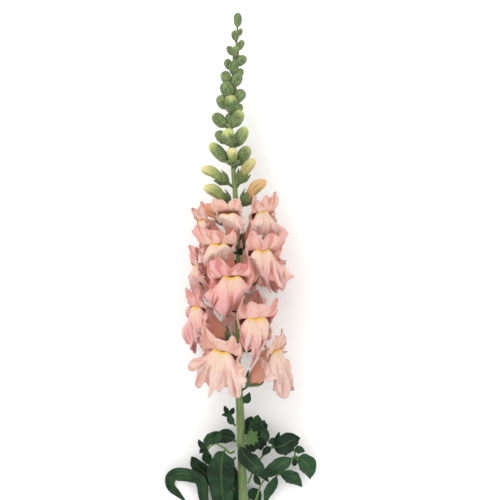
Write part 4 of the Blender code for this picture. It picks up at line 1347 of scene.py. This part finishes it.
stageForm = {
    "floorSize": 3.0,
    "floorDrop": 0.0002,
    "floorColor": paint(252, 251, 250),
    "skyStrength": 0.98,
    # place, power and size of each lamp
    "lamps": {
        "key": ((-0.5, 0.5, 1.0), 6.0, 0.9),
        "fill": ((0.7, -0.3, 0.8), 1.8, 0.8),
    },
    "cameraHeight": 1.042,
    "lens": 100,
    "sensor": 36,
    "aim": (7.44, 251.5, 33),
}


def makeStage():
    scene = bpy.context.scene
    size = stageForm["floorSize"] / 2
    mesh = bpy.data.meshes.new("floor")
    mesh.from_pydata([(-size, -size, 0), (size, -size, 0), (size, size, 0), (-size, size, 0)], [], [(0, 1, 2, 3)])
    mesh.materials.append(Look("floor", 0.9).finish(stageForm["floorColor"]))
    floor = linked("floor", mesh)
    floor.location = (0, 0, -stageForm["floorDrop"])
    world = bpy.data.worlds.new("sky")
    world.use_nodes = True
    sky = world.node_tree.nodes["Background"]
    sky.inputs["Color"].default_value = (1, 1, 1, 1)
    sky.inputs["Strength"].default_value = stageForm["skyStrength"]
    scene.world = world
    for name, (place, power, size) in stageForm["lamps"].items():
        lamp = bpy.data.lights.new(name, "AREA")
        lamp.energy = power
        lamp.size = size
        light = linked(name, lamp)
        light.location = place
        light.rotation_euler = (-Vector(place)).to_track_quat("-Z", "Y").to_euler()
    lens = bpy.data.cameras.new("camera")
    lens.lens = stageForm["lens"]
    lens.sensor_width = stageForm["sensor"]
    camera = linked("camera", lens)
    camera.location = Vector(inFrame(stageForm["aim"])) + Vector((0, 0, stageForm["cameraHeight"]))
    scene.camera = camera
    scene.view_settings.view_transform = "Standard"


def buildStem():
    petal, openPetal, leaf, down = petalLook(), openingLook(), leafLook(), hairLook()
    green = greenLook("sepal", calyxForm["colors"], 0.55)
    rng = random.Random(bloomForm["seed"])
    for number, bloom in enumerate(blooms, 1):
        makePetals(number, bloom, rng, petal)
        makeCalyx(number, bloom, green)
    print("blooms made:", len(blooms))
    for number, bud in enumerate(openingBuds, 1):
        makeOpeningBud(number, bud, green, openPetal, down)
    print("opening buds made:", len(openingBuds))
    makeStalk(stalkLook(), greenLook("closed_bud", budForm["colors"], 0.6), down)
    for number, bract in enumerate(bracts, 1):
        makeBract(number, bract, leaf)
    print("stalk and closed buds made:", len(closedBuds))
    seeds = itertools.count(1)
    for node, plan in leaves.items():
        makeLeaf("blade_" + node[5:], plan, next(seeds), leaf, node)
    for node, (twig, blades) in shoots.items():
        makeTwig("twig_" + node[6:], twig, leaf, node)
        for k, plan in enumerate(blades, 1):
            makeLeaf(f"blade_{node[6:]}_{k}", plan, next(seeds), leaf, node)
    for node, blades in extraLeaves.items():
        for k, plan in enumerate(blades, 1):
            makeLeaf(f"blade_{node[6:]}_more_{k}", plan, next(seeds), leaf, node)
    heart, count = np.array(youngLeaves["star"]), youngLeaves["count"]
    for k in range(count):
        angle = 2 * math.pi * (k + 0.3 * rng.random()) / count
        out = np.array([math.cos(angle), math.sin(angle), 0.0])
        length = youngLeaves["length"] * rng.uniform(0.7, 1.15)
        path = (heart - out * 0.4, heart + out * length * 0.55 + (0, 0, youngLeaves["lift"]),
                heart + out * length - (0, 0, youngLeaves["droop"]))
        makeLeaf(f"blade_young_{k + 1}", (youngLeaves["width"], 0, path), freshSeed + k, leaf, "shoot_right_inner")
    print("leaves made:", next(seeds) - 1 + count)


makeStage()
buildStem()
